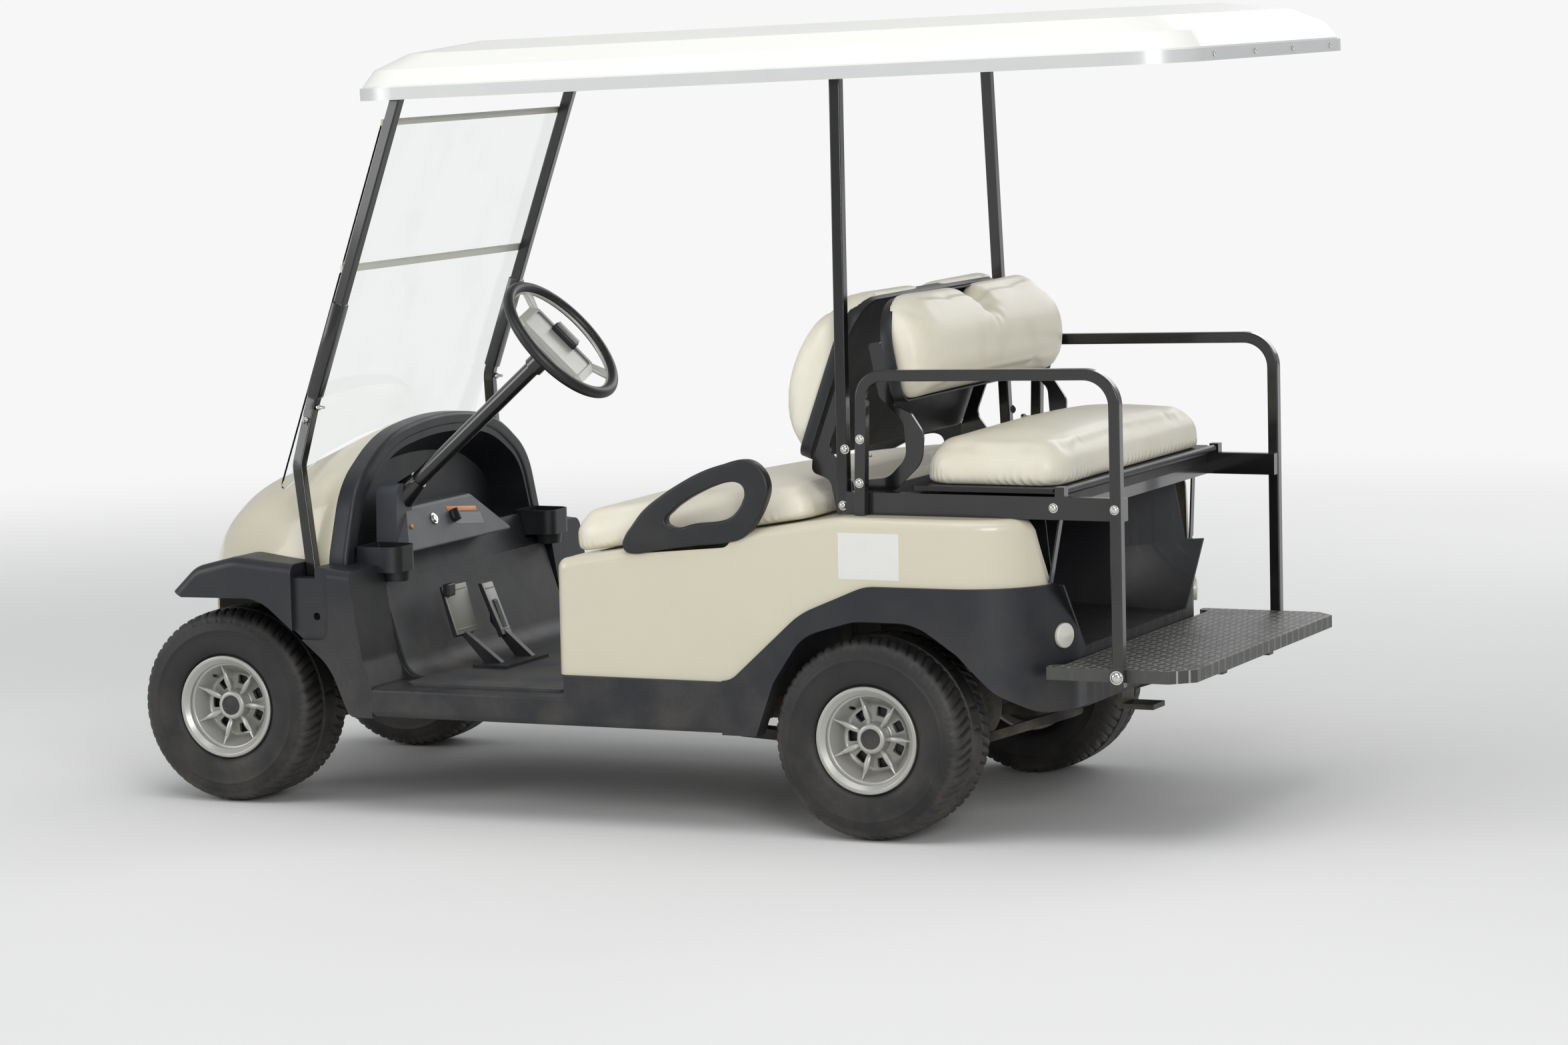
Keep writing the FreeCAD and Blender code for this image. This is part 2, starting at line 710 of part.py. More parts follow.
def underbody():
    """Floor tub: flat floor, sills, and the toe board that rises to the dash."""
    w = body_half_width
    bottom = floor_top - floor_thickness
    top_x = floor_front + toe_board_lean
    wall = 14.0
    floor = box(floor_rear, floor_front, -w + sill_depth, w - sill_depth, bottom, floor_top)
    toe_board = slab("XZ", -fender_inner, fender_inner, [
        (floor_front - 60, bottom, 0), (floor_front + 22, bottom, 60), (top_x + wall, toe_board_top, 0),
        (top_x, toe_board_top, 0), (floor_front, floor_top, 60), (floor_front - 60, floor_top, 0)])
    pieces = [floor, toe_board]
    for sign in (1, -1):
        outer, inner = sign * w, sign * (w - sill_depth)
        door_sill = slab("YZ", floor_rear, floor_front, [
            (outer, sill_bottom + 8, 14), (outer, floor_top, 8), (inner, floor_top, 0),
            (inner, bottom, 0), (sign * (w - 22), bottom - 8, 6), (sign * (w - 22), sill_bottom, 6)])
        side_sill = slab("YZ", rear_fender_front, floor_rear, [
            (outer, sill_bottom + 8, 14), (outer, body_bottom, 4), (inner, body_bottom, 0),
            (inner, body_bottom - 12, 0), (sign * (w - 22), body_bottom - 20, 6),
            (sign * (w - 22), sill_bottom, 6)])
        pieces += [door_sill, side_sill]
    tub = fuse(pieces)
    tray_room = box(1290, 1360, tray_inner_side - 5, fender_inner + 1, 540, toe_board_top + 1)
    return tub.cut(pair(tray_room))


def floor_mat():
    """Ribbed mat over the floor and the lower toe board."""
    lean = toe_board_lean / (toe_board_top - floor_top)
    mat_top = 520.0
    x_top = floor_front + lean * (mat_top - floor_top)
    front_edge = floor_front - 80
    upper = slab("XZ", -fender_inner + 12, fender_inner - 12, strip([
        (front_edge, floor_top, 0), (floor_front, floor_top, 60), (x_top, mat_top, 0)], mat_thickness))
    lower = slab("XY", floor_top, floor_top + mat_thickness, [
        (floor_rear + 30, -mat_half_width, 20), (floor_rear + 30, mat_half_width, 20),
        (front_edge + 34, mat_half_width, 30), (front_edge + 34, -mat_half_width, 30)])
    upper.translate(V(-running_gap, 0, running_gap))
    return fuse([upper, lower])


# across, pad width, arm's foot, lower end of the pad (x, z), upper end of the pad (x, z)
PEDALS = [
    (205.0, 86.0, 1112.0, (1197.0, 373.0), (1232.0, 493.0)),
    (80.0, 52.0, 1095.0, (1150.0, 358.0), (1204.0, 485.0)),
]


def pedals():
    """Hinge plate on the floor with the brake and accelerator arms and pads."""
    base_z = floor_top + mat_thickness
    pieces = [box(1060, 1150, 40, 260, base_z, base_z + 8)]
    for y, width, foot, (low_x, low_z), (high_x, high_z) in PEDALS:
        middle_x = (low_x + high_x) / 2
        middle_z = (low_z + high_z) / 2
        pieces.append(slab("XZ", y - 9, y + 9, [
            (foot - 20, base_z + 4, 3), (foot + 28, base_z + 4, 3), (middle_x + 14, middle_z - 30, 20),
            (middle_x + 12, middle_z + 26, 6), (middle_x + 1, middle_z + 20, 3),
            (low_x + 2, low_z + 14, 10)]))
        pieces.append(slab("XZ", y - width / 2, y + width / 2, [
            (low_x, low_z, 3), (low_x + 8, low_z - 3, 3), (high_x + 8, high_z - 3, 3),
            (high_x, high_z, 3)]))
    return fuse(pieces)


# Front bodywork

def cowl_section(x, half_width, base, crown, bottom):
    """Arch-topped outline across the cart: upright foot, leaning side, shoulder, low crown."""
    w = half_width
    h = crown - base
    right = [(-w, bottom, 0), (-w, base, 0.24 * w), (-0.879 * w, base + 0.568 * h, 0.375 * w),
             (-0.557 * w, base + 0.912 * h, 0.82 * w)]
    left = [(-y, z, r) for y, z, r in right[::-1]]
    return drawn("YZ", x, right + [(0, base + 1.046 * h, 2.6 * w)] + left)


# station, half width, height where the side starts to lean, crown height
COWL_SECTIONS = [
    (1392.0, 502.0, 586.0, 880.0),
    (1490.0, 490.0, 584.0, 838.0),
    (1620.0, 458.0, 572.0, 778.0),
    (1740.0, 388.0, 545.0, 724.0),
    (1830.0, 288.0, 495.0, 642.0),
    (1894.0, 165.0, 430.0, 506.0),
]


def cowl_outer():
    """Outer form of the hood and nose."""
    return loft([cowl_section(x, w, base, crown, cowl_bottom) for x, w, base, crown in COWL_SECTIONS])


def front_cowl():
    """Hood and nose: one thin moulding, open below and at the rear."""
    inner_sections = []
    for i, (x, w, base, crown) in enumerate(COWL_SECTIONS):
        station = x - 10 if i == 0 else x
        if i == len(COWL_SECTIONS) - 1:
            station = x - cowl_wall
        inner_sections.append(cowl_section(station, w - cowl_wall, base, crown - cowl_wall,
                                           cowl_bottom - 20))
    shell = cowl_outer().cut(loft(inner_sections))
    wheel_space = pair(slab("XZ", 190, 620, [
        (1240, 250, 0), (1240, 560, 0), (1700, 570, 0), (1920, 500, 0), (1920, 250, 0)]))
    return shell.cut(wheel_space)


def front_bumper():
    """Rounded bumper under the nose, open at the rear, where it meets the rails."""
    w, wall = bumper_half_width, bumper_wall
    outer = slab("XY", bumper_bottom, cowl_bottom, [
        (rail_front_end, -w, 0), (bumper_front - 12, -w, 50), (bumper_front, -w / 2, 90),
        (bumper_front, w / 2, 90), (bumper_front - 12, w, 50), (rail_front_end, w, 0)])
    inner = slab("XY", bumper_bottom + wall, cowl_bottom + 10, [
        (rail_front_end + wall, -w + wall, 0), (bumper_front - 12 - wall, -w + wall, 44),
        (bumper_front - wall, -w / 2 + wall, 84), (bumper_front - wall, w / 2 - wall, 84),
        (bumper_front - 12 - wall, w - wall, 44),
        (rail_front_end + wall, w - wall, 0)])
    return outer.cut(inner)


def cowl_frame():
    """Black arch that edges the dash opening, with the open bay in front of it."""
    rear = cowl_rear - arch_frame_depth
    outer = Part.Face(cowl_section(rear, *arch_outer, arch_leg_bottom)).extrude(V(arch_frame_depth, 0, 0))
    opening = cowl_section(rear - 5, *arch_inner, arch_leg_bottom - 40)
    ring = outer.cut(Part.Face(opening).extrude(V(arch_frame_depth + 10, 0, 0)))
    lip = [edge for edge in ring.Edges if abs(edge.BoundBox.XMax - rear) < 0.1
           and edge.BoundBox.XLength < 0.1 and edge.BoundBox.ZMin > arch_leg_bottom + 1]
    ring = ring.makeFillet(11.0, lip)
    w, base, crown = arch_inner
    front = rear + 4 + bay_depth
    t = panel_wall
    bay = loft([cowl_section(rear + 4, w + t, base + 8, crown + t, bay_floor),
                cowl_section(front, w - 34, base + 8, crown - 60, bay_floor)], True)
    space = loft([cowl_section(rear - 20, w, base + 8, crown, bay_floor + t),
                  cowl_section(front - t, w - 34 - t, base + 8, crown - 60 - t, bay_floor + t)], True)
    return fuse([ring, bay.cut(space)])


def dash_panel():
    """Grey switch panel with the hump round the column's foot, between the cup trays."""
    seat = toe_board_top + running_gap
    wedge = slab("XZ", -160, tray_inner_side, [
        (1256, 584, 4), (1300, 684, 12), (1352, 688, 6), (1352, seat, 0), (1322, seat, 0), (1318, 584, 4)])
    outline = slab("YZ", 1200, 1500, [
        (-158, 570, 0), (-158, 592, 8), (-30, 684, 22), (-20, 700, 0), (276, 700, 0), (290, 684, 10),
        (tray_inner_side - 2, 600, 6), (tray_inner_side - 2, 570, 0)])
    hump = slab("YZ", 1296, 1350, [
        (258, seat, 0), (tray_inner_side - 3, seat, 0), (tray_inner_side - 8, 742, 26), (276, 742, 26)])
    return fuse([wedge.common(outline), hump]).cut(column_body(running_gap))


def cup_holders():
    """Two open cups under deep round-cornered trays at the ends of the dash."""
    x, y = cup_centre
    near, far = tray_inner_side, arch_inner[0] - running_gap
    wall = 4.0
    cup = Part.makeCone(30, 34, tray_bottom - cup_bottom + 2, V(x, y, cup_bottom))
    tray = slab("XY", tray_bottom, tray_top, [
        (1240, near, 26), (1240, far, 34), (1346, far, 4), (1346, near, 4)])
    space = slab("XY", tray_bottom + wall, tray_top + 10, [
        (1240 + wall, near + wall, 22), (1240 + wall, far - wall, 30), (1346 - wall, far - wall, 3),
        (1346 - wall, near + wall, 3)])
    hollow = Part.makeCone(26.5, 32, tray_bottom - cup_bottom + 6, V(x, y, cup_bottom + wall))
    return pair(fuse([cup, tray]).cut(space).cut(hollow))


FRONT_ARCH = [(1738.0, 494.0, 0), (1530.0, 497.0, 110), (1345.0, 345.0, 150), (1296.0, 226.0, 0)]


def cowl_plan(gap):
    """Block over the hood's plan, to trim pieces that meet the hood's side."""
    side = [(x, w + gap, 0) for x, w, base, crown in COWL_SECTIONS]
    other = [(x, -y, 0) for x, y, r in side[::-1]]
    rear = cowl_rear - arch_frame_depth - gap
    corners = [(rear, side[0][1], 0)] + side + other + [(rear, other[-1][1], 0)]
    return slab("XY", arch_leg_bottom, 900, corners)


def front_fender():
    """Left fender: rounded skin over the wheel, pillar foot, and wheel house behind it."""
    top = [(1291, 566, 0), (1600, 592, 110), (1704, 566, 80), (1764, 508, 0)]
    pillar = [(1236, sill_bottom, 0), (1236, floor_top + 2, 20), (1258, 360, 60)]
    arch = [(1738, 494, 0)] + FRONT_ARCH[1:-1] + [(1296, sill_bottom, 24)]
    skin = slab("XZ", fender_inner, body_half_width, pillar + top + arch)
    outer_top = [edge for edge in skin.Edges
                 if edge.BoundBox.YMin > body_half_width - 1 and edge.BoundBox.ZMin > 507
                 and edge.BoundBox.ZMax > 540]
    skin = skin.makeFillet(22.0, outer_top)
    foot_room = box(1384, 1442, 503, 542, strut_foot_height - 3, 620)
    strut_slot = box(1384, 1442, 530, body_half_width + 5, 547, 620)
    recess = slab("XZ", body_half_width - 12, body_half_width + 5, [
        (1347, 620, 0), (1347, 405, 24), (1442, 405, 24), (1442, 620, 0)])
    bolt_hole = cylinder(9, (1381, body_half_width - 30, 459), (1381, body_half_width + 5, 459))
    tray_room = box(1238, 1347, tray_inner_side, arch_inner[0], tray_bottom - running_gap, 620)
    for opening in (foot_room, strut_slot, recess, bolt_hole, tray_room):
        skin = skin.cut(opening)
    skin = skin.cut(cowl_plan(5.0))
    house = slab("XZ", 210, fender_inner, strip(FRONT_ARCH[::-1], panel_wall))
    return fuse([skin, house])


# Rear bodywork

FLARE_LINE = [(345.0, 350.0, 0), (322.0, 352.0, 60), (150.0, 508.0, 190), (-5.0, 573.0, 120),
              (-520.0, fender_top_rear, 0)]
REAR_ARCH = [(262.0, 228.0, 0), (218.0, 350.0, 80), (146.0, 458.0, 110), (20.0, 495.0, 150),
             (-125.0, 495.0, 140), (-225.0, 428.0, 80), (-300.0, 345.0, 90), (-385.0, 292.0, 70),
             (-520.0, rear_fender_bottom, 0)]


def body_top(x):
    """Height of the rear body's top edge at a station."""
    if x < body_top_bend:
        return body_top_rear
    slope = (body_top_rear - body_top_front) / (body_front - body_top_bend)
    return body_top_front + (body_front - x) * slope


def tail_plan(inset):
    """Seen from above, the round tail from the body's side to the bag well."""
    w = body_half_width - inset
    rear = -rear_body_overhang + inset
    corner_x, corner_radius = tail_corner
    return [(corner_x + inset, w, corner_radius - inset),
            (rear, bag_well_half_width + 60, 80), (rear, bag_well_half_width, 0)]


def top_edges(shape):
    """Long edges along the top of the body side's outer face."""
    return [edge for edge in shape.Edges if edge.BoundBox.YMin > body_half_width - 36
            and edge.BoundBox.ZMin > 590 and edge.BoundBox.XLength > 60]


def body_side(cut_shape):
    """Left beige side: from the kick panel, round the seat's side, to the tail."""
    mouth = [(tail_edge_foot, fender_top_rear + running_gap, 0), (tail_edge_top, body_top_rear, 35)]
    top = [(body_top_bend, body_top_rear, 150), (body_front + 20, body_top(body_front + 20), 0)]
    flare = [(u, v + running_gap, r) for u, v, r in FLARE_LINE]
    sill = [(body_front + 20, body_bottom, 0), (rear_fender_front + running_gap, body_bottom, 0)]
    side = slab("XZ", bag_well_half_width, body_half_width + 20, sill + flare[:-1] + mouth + top)
    front = [(body_front, bag_well_half_width, 0), (body_front, body_half_width - body_inset, 30)]
    outer = side.common(slab("XY", 200, 900, front + tail_plan(body_inset)))
    outer = outer.makeFillet(top_rounding, top_edges(outer))
    t = panel_wall
    inner_side = slab("XZ", bag_well_half_width - 40, body_half_width + 20, [
        (body_front + 40, 280, 0), (-500, 280, 0), (-500, body_top_rear - t, 0),
        (body_top_bend, body_top_rear - t, 150), (body_front + 40, body_top(body_front + 40) - t, 0)])
    inner_plan = [(body_front - t, bag_well_half_width - 60, 0),
                  (body_front - t, body_half_width - body_inset - t, 25)]
    inner_plan += tail_plan(body_inset + t)[:-1]
    inner_plan.append((-rear_body_overhang + body_inset + t, bag_well_half_width - 60, 0))
    inner = inner_side.common(slab("XY", 200, 900, inner_plan))
    inner = inner.makeFillet(top_rounding - t, top_edges(inner))
    seat_hole = slab("XY", 560, 900, [
        (body_front - 60, bag_well_half_width - 60, 0), (body_front - 60, seat_half_width - 40, 40),
        (seat_rear + 30, seat_half_width - 40, 40), (seat_rear + 30, bag_well_half_width - 60, 0)])
    return outer.cut(inner).cut(seat_hole).cut(cut_shape)


def kick_panel():
    """Panel under the seat's front edge, between the body sides."""
    return box(body_front - 6, body_front, -bag_well_half_width, bag_well_half_width,
               floor_top, body_top(body_front) - 4)


def seat_deck():
    """Tray behind the front seat, between the body sides."""
    return box(bag_well_front, seat_rear - running_gap, -bag_well_half_width, bag_well_half_width,
               body_top_rear - 8, body_top_rear - 2)


def rear_fender():
    """Left rear fender: flared skin round the wheel, wheel house and tail corner."""
    w = body_half_width
    depth = 50.0
    outline = FLARE_LINE + REAR_ARCH[::-1][:-1]
    outline += [(262, sill_bottom, 0), (rear_fender_front, sill_bottom, 0)]
    side = slab("XZ", bag_well_half_width, w, outline)
    plan = [(rear_fender_front, w - depth, 0), (rear_fender_front, w, 0)] + tail_plan(0)
    plan += [(tail_corner[0] + 30, bag_well_half_width, 0), (tail_corner[0] + 30, w - depth, 60)]
    skin = side.common(slab("XY", 200, 700, plan))
    house = slab("XZ", 365, w - depth, strip(REAR_ARCH[:-2][::-1], -panel_wall))
    return fuse([skin.cut(mouth_flare(0)), house])


def mouth_flare(wall):
    """Left side of the bag well's mouth, which widens towards the tail corner."""
    w, wide = bag_well_half_width, mouth_half_width
    floor = bag_well_floor - 26 + wall
    rear = -rear_body_overhang - 46
    near = drawn("YZ", mouth_flare_start, [
        (w - 10, floor, 0), (w - wall, floor, 0), (w + 1 - wall, 560, 0), (w + 1 - wall, 730, 0),
        (w - 10, 730, 0)])
    far = drawn("YZ", rear, [
        (w - 10, floor, 0), (w - wall, floor, 0), (wide + 34 - wall, fender_top_rear + wall, 0),
        (wide + 34 - wall, 730, 0), (w - 10, 730, 0)])
    return loft([near, far], True)


def bag_well():
    """Moulded tub between the rear quarters, with the valance under its mouth."""
    w = bag_well_half_width
    t = panel_wall
    rear = -rear_body_overhang
    profile = [
        (bag_well_front, body_top_rear, 0), (bag_well_front, bag_well_floor - t, 60),
        (rear, bag_well_floor - 26, 6), (rear, fender_top_rear, 0), (tail_edge_foot, fender_top_rear, 0),
        (tail_edge_top, body_top_rear - t, 0), (mouth_flare_start, body_top_rear - t, 0),
        (mouth_flare_start, body_top_rear, 0)]
    outer = slab("XZ", -w, w, profile)
    inner = slab("XZ", -w + t, w - t, [
        (bag_well_front - t, 800, 0), (bag_well_front - t, bag_well_floor, 60),
        (rear - 50, bag_well_floor - 18, 0), (rear - 50, 800, 0)])
    side = mouth_flare(0).common(slab("XZ", w - 20, w + 200, profile))
    tub = fuse([outer, side, mirrored(side)]).cut(inner)
    tub = tub.cut(pair(mouth_flare(t)))
    valance = slab("XY", rear_fender_bottom, bag_well_floor - 10, [
        (rear, -w, 0), (rear, w, 0), (rear + t, w, 0), (rear + t, -w, 0)])
    shell = fuse([tub, valance])
    for sign in (1, -1):
        y = sign * rail_half_spacing
        shell = shell.cut(box(rear - 10, rear + 20, y - 18, y + 18, plate_top - plate_edge - 28,
                              plate_top - plate_edge + 3))
    return shell


def reflectors():
    """Round reflector on each tail corner."""
    rear = -rear_body_overhang
    corner = V(tail_corner[0], body_half_width, 0)
    end = V(rear, bag_well_half_width + 60, 0)
    along = (end - corner).normalize()
    outward = V(along.y, -along.x, 0)
    lens = turned([(0, 0, 0), (28, 0, 0), (28, 8, 3), (0, 12, 0)])
    lens.Placement = FreeCAD.Placement(end - along * 44 + V(0, 0, 458),
                                       FreeCAD.Rotation(V(0, 1, 0), outward))
    return pair(lens)


# Seats

def wedge_cushion(x_front, x_rear, half_width, bottom_front, bottom_rear, top_front, top_rear, edge):
    """Plain closed cushion between two slanted faces, with rounded edges."""
    solid = slab("XZ", -half_width, half_width, [
        (x_front, bottom_front, 8), (x_front - 8, top_front, edge), (x_rear, top_rear, edge),
        (x_rear, bottom_rear, 8)])
    plan = slab("XY", bottom_front - 300, top_rear + 300, [
        (x_front, -half_width, 70), (x_front, half_width, 70), (x_rear, half_width, 40),
        (x_rear, -half_width, 40)])
    return solid.common(plan)


def front_cushion():
    """Bench cushion on the rear body."""
    base = running_gap
    return wedge_cushion(
        752, seat_rear, seat_half_width, body_top(752) + base, body_top(seat_rear) + base,
        706, 782, 34)


FRONT_BACK_FOOT = (193.0, 837.0)
FRONT_BACK_HEAD = (60.0, 1205.0)
REAR_BACK_FOOT = (-34.0, 966.0)
REAR_BACK_HEAD = (14.0, 1205.0)
shell_thickness = 14.0
back_corner = 115.0
back_dip = 30.0


def along_line(foot, head, distance, offset):
    """Point at a distance up the line from foot to head, offset square to it."""
    start = V(foot[0], foot[1], 0)
    direction = (V(head[0], head[1], 0) - start).normalize()
    side = V(direction.y, -direction.x, 0)
    point = start + direction * distance + side * offset
    return point.x, point.y


def back_outline(shape, grow, dip):
    """Front view of a backrest: large upper corners and a dip of that depth in the top."""
    w = seat_back_half_width + grow
    low, high = shape.BoundBox.ZMin, shape.BoundBox.ZMax
    top = [(w, high, back_corner + grow)]
    if dip:
        top += [(70, high, 60), (16, high - dip, 14), (-16, high - dip, 14), (-70, high, 60)]
    top.append((-w, high, back_corner + grow))
    outline = [(-w, low, 30), (w, low, 30)] + top
    return slab("YZ", shape.BoundBox.XMin - 1, shape.BoundBox.XMax + 1, outline)


def backrest(foot, head, toward, depth):
    """A pad with a domed face on one side of a slanted line."""
    length = math.hypot(head[0] - foot[0], head[1] - foot[1])
    points = []
    for distance, offset, radius in (
            (0, 0, 6), (8, depth * 0.72, 34), (length * 0.45, depth, 260), (length - 12, depth * 0.62, 40),
            (length, 0, 6)):
        x, z = along_line(foot, head, distance, toward * offset)
        points.append((x, z, radius))
    pad = slab("XZ", -seat_back_half_width, seat_back_half_width, points)
    return pad.common(back_outline(pad, 0, back_dip))


def front_back():
    """Backrest of the front bench."""
    return backrest(FRONT_BACK_FOOT, FRONT_BACK_HEAD, 1, 112)


def rear_back():
    """Backrest of the rear-facing seat."""
    return backrest(REAR_BACK_FOOT, REAR_BACK_HEAD, -1, 84)


def back_shells():
    """Moulded shells behind the two backrests."""
    shells = []
    for foot, head, toward in ((FRONT_BACK_FOOT, FRONT_BACK_HEAD, -1), (REAR_BACK_FOOT, REAR_BACK_HEAD, 1)):
        length = math.hypot(head[0] - foot[0], head[1] - foot[1])
        points = []
        for distance, offset, radius in (
                (-4, 0.3, 0), (-4, shell_thickness * 0.5, 4), (30, shell_thickness, 20),
                (length - 40, shell_thickness, 20), (length + 2, 3, 2), (length + 2, 0.3, 0)):
            x, z = along_line(foot, head, distance, toward * offset)
            points.append((x, z, radius))
        shell = slab("XZ", -seat_back_half_width - 4, seat_back_half_width + 4, points)
        shells.append(shell.common(back_outline(shell, 4, 0)))
    return Part.makeCompound(shells)


def seat_back_frame():
    """Four upright plates that carry the backrests from the body and the seat frame."""
    front = [(74, body_top(74) + running_gap, 4), (120, body_top(120) + running_gap, 4), (136, 792, 26),
             (181, 808, 16), (179, 834, 0), (118, 1001, 6), (92, 991, 6), (140, 862, 30), (84, 790, 30)]
    rear = [(-20, 770.3, 20), (64, 770.3, 4), (64, 792, 12), (-6, 800, 45), (-50, 845, 45),
            (-44, 925, 30), (14, 980, 20), (38, 1098, 8), (8, 1102, 8), (-20.6, 962, 0), (-62, 944, 12),
            (-92, 900, 40), (-86, 834, 60)]
    y = plate_half_spacing
    plates = []
    for outline in (front, rear):
        plate = slab("XZ", y, y + plate_thickness, outline)
        plates += [plate, mirrored(plate)]
    return Part.makeCompound(plates)


def hip_restraint():
    """Left moulded loop beside the seat."""
    y0 = body_half_width - restraint_thickness
    outer = slab("XZ", y0, body_half_width, [
        (600, 626, 14), (330, 650, 26), (232, 770, 36), (290, 858, 36)])
    opening = slab("XZ", y0 - 5, body_half_width + 5, [
        (500, 690, 10), (352, 704, 20), (306, 768, 14), (328, 800, 14)])
    return outer.cut(opening)


# Rear seat frame, grab rails and foot plate

def rear_seat_frame():
    """Two side rails and the crossmembers that carry the rear seat."""
    half = frame_rail_half_spacing
    bottom = frame_rail_top - frame_rail_height
    pieces = []
    for sign in (1, -1):
        inner = sign * half - half_tube
        pieces.append(box(frame_rail_rear, frame_rail_front, inner, inner + tube, bottom, frame_rail_top))
        ear = box(hinge_x - 11, hinge_x + 11, inner, inner + tube, frame_rail_top, hinge_z + 11)
        pin_start = sign * (half - half_tube)
        pin = cylinder(hinge_pin_diameter / 2, (hinge_x, pin_start + sign * 4, hinge_z),
                       (hinge_x, pin_start - sign * 26, hinge_z))
        pieces += [ear, pin]
    for x in (20.0, -150.0, deck_rear):
        pieces.append(box(x, x + tube, -half, half, bottom, bottom + tube))
    for sign in (1, -1):
        pieces.append(swept([(-410, sign * 429, bottom + 4, 0), (-393, sign * 458, fender_top_rear + 2.5, 0)],
                            4, 20, 0, (0, 1, 0)))
    return fuse(pieces)


def grab_rail():
    """Left grab rail: up from the seat frame, back, and down to the foot plate."""
    y = frame_rail_half_spacing + tube + 0.3
    rise = 6.0
    return swept([
        (grab_rail_front + 8, y, frame_rail_top - frame_rail_height + 1, 0),
        (grab_rail_front, y, grab_rail_top - rise, 50),
        (post_x, y, grab_rail_top + rise, 70),
        (post_x - 2, y, plate_top - plate_edge - 8, 0)], tube, tube, 3, (0, 1, 0))


def foot_plate():
    """Tread plate with folded edges and cut corners."""
    half = frame_rail_half_spacing + half_tube + 0.15
    c = plate_corner
    t = plate_sheet
    notch, notch_half = plate_front - plate_notch_depth, plate_notch_half_width
    outer = slab("XY", plate_top - plate_edge, plate_top, [
        (plate_front, -half, 4), (plate_front, -notch_half - 20, 4), (notch, -notch_half, 8),
        (notch, notch_half, 8), (plate_front, notch_half + 20, 4), (plate_front, half, 4),
        (plate_rear + c, half, 4), (plate_rear, half - c, 4), (plate_rear, -half + c, 4),
        (plate_rear + c, -half, 4)])
    inner = slab("XY", plate_top - plate_edge - 5, plate_top - t, [
        (notch - t, -half + t, 0), (notch - t, half - t, 0), (plate_rear + c, half - t, 0),
        (plate_rear + t, half - c, 0), (plate_rear + t, -half + c, 0), (plate_rear + c, -half + t, 0)])
    return outer.cut(inner)


def cargo_deck():
    """Fixed deck between the side rails, under the flip seat."""
    half = frame_rail_half_spacing - half_tube - 1
    z = frame_rail_top - frame_rail_height + tube
    outer = box(deck_rear, 45, -half, half, z, frame_rail_top - 4)
    inner = box(deck_rear + 4, 41, -half + 4, half - 4, z - 1, frame_rail_top - 8)
    return outer.cut(inner)


def flip_pan():
    """Tray under the rear cushion, turning on its rear edge."""
    wide = frame_rail_half_spacing - 1
    narrow = frame_rail_half_spacing - half_tube - 5
    bottom = frame_rail_top + 5
    top = flip_pan_top
    outer = slab("XY", bottom, top, [
        (hinge_x, -narrow, 0), (hinge_x, narrow, 0), (hinge_x + 20, narrow, 0), (hinge_x + 20, wide, 0),
        (flip_pan_front, wide, 20), (flip_pan_front, -wide, 20), (hinge_x + 20, -wide, 0),
        (hinge_x + 20, -narrow, 0)])
    hollow = box(hinge_x + 24, flip_pan_front - 4, -narrow + 4, narrow - 4, bottom - 1, top - 4)
    barrel = cylinder(hinge_barrel_diameter / 2, (hinge_x, -narrow, hinge_z), (hinge_x, narrow, hinge_z))
    bore = cylinder(hinge_pin_diameter / 2 + running_gap, (hinge_x, -narrow - 2, hinge_z),
                    (hinge_x, narrow + 2, hinge_z))
    return fuse([outer.cut(hollow), barrel]).cut(bore)


def rear_cushion():
    """Cushion of the rear-facing seat."""
    half = frame_rail_half_spacing - half_tube - 9
    return wedge_cushion(-85, -430, half, flip_pan_top, flip_pan_top, 896, 900, 36)


# Struts, windshield and roof

def front_hoop_points(y, side):
    """Path of one front leg, from the fender's channel up to under the roof."""
    top = front_hoop_top
    leg = [(1408, 525, strut_foot_height, 0), (1424, 520, 560, 60), (1470, 490, 800, 60),
           (1454, y, 940, 80), (1454 - (top - 940) * front_strut_lean, y, top, 50)]
    return [(px, side * py, pz, r) for px, py, pz, r in leg]


def front_struts():
    """Bent square tube from one fender up, across under the roof, and down to the other."""
    y = front_strut_half_spacing
    left = front_hoop_points(y, 1)
    right = front_hoop_points(y, -1)
    return swept(left + right[::-1], tube, tube, 3, (0, 1, 0))


def rear_struts():
    """One hoop of square tube: up from the seat frame, across under the roof, and down."""
    foot, head = rear_strut_half_spacing, rear_strut_top_half_spacing
    foot_z = frame_rail_top - frame_rail_height
    x = rear_strut_foot
    return swept([(x, foot, foot_z, 0), (x + 24, head, rear_hoop_top, 60),
                  (x + 24, -head, rear_hoop_top, 60), (x, -foot, foot_z, 0)],
                 tube, tube, 3, (1, 0, 0))


def roof_outline(inset, height):
    """Rounded rectangle of the roof, drawn inset from its edge."""
    r = max(roof_corner_radius - inset * 0.4, 40)
    x0, x1 = -roof_rear_overhang + trim_thickness + inset, roof_front - inset
    w = roof_half_width - inset
    return drawn("XY", height, [(x0, -w, r), (x1, -w, r), (x1, w, r), (x0, w, r)])


def roof_tilt(shape):
    """Set a roof piece at its height and slope."""
    shape.rotate(V(0, 0, 0), V(0, 1, 0), roof_slope)
    shape.translate(V(0, 0, roof_edge_height))
    return shape


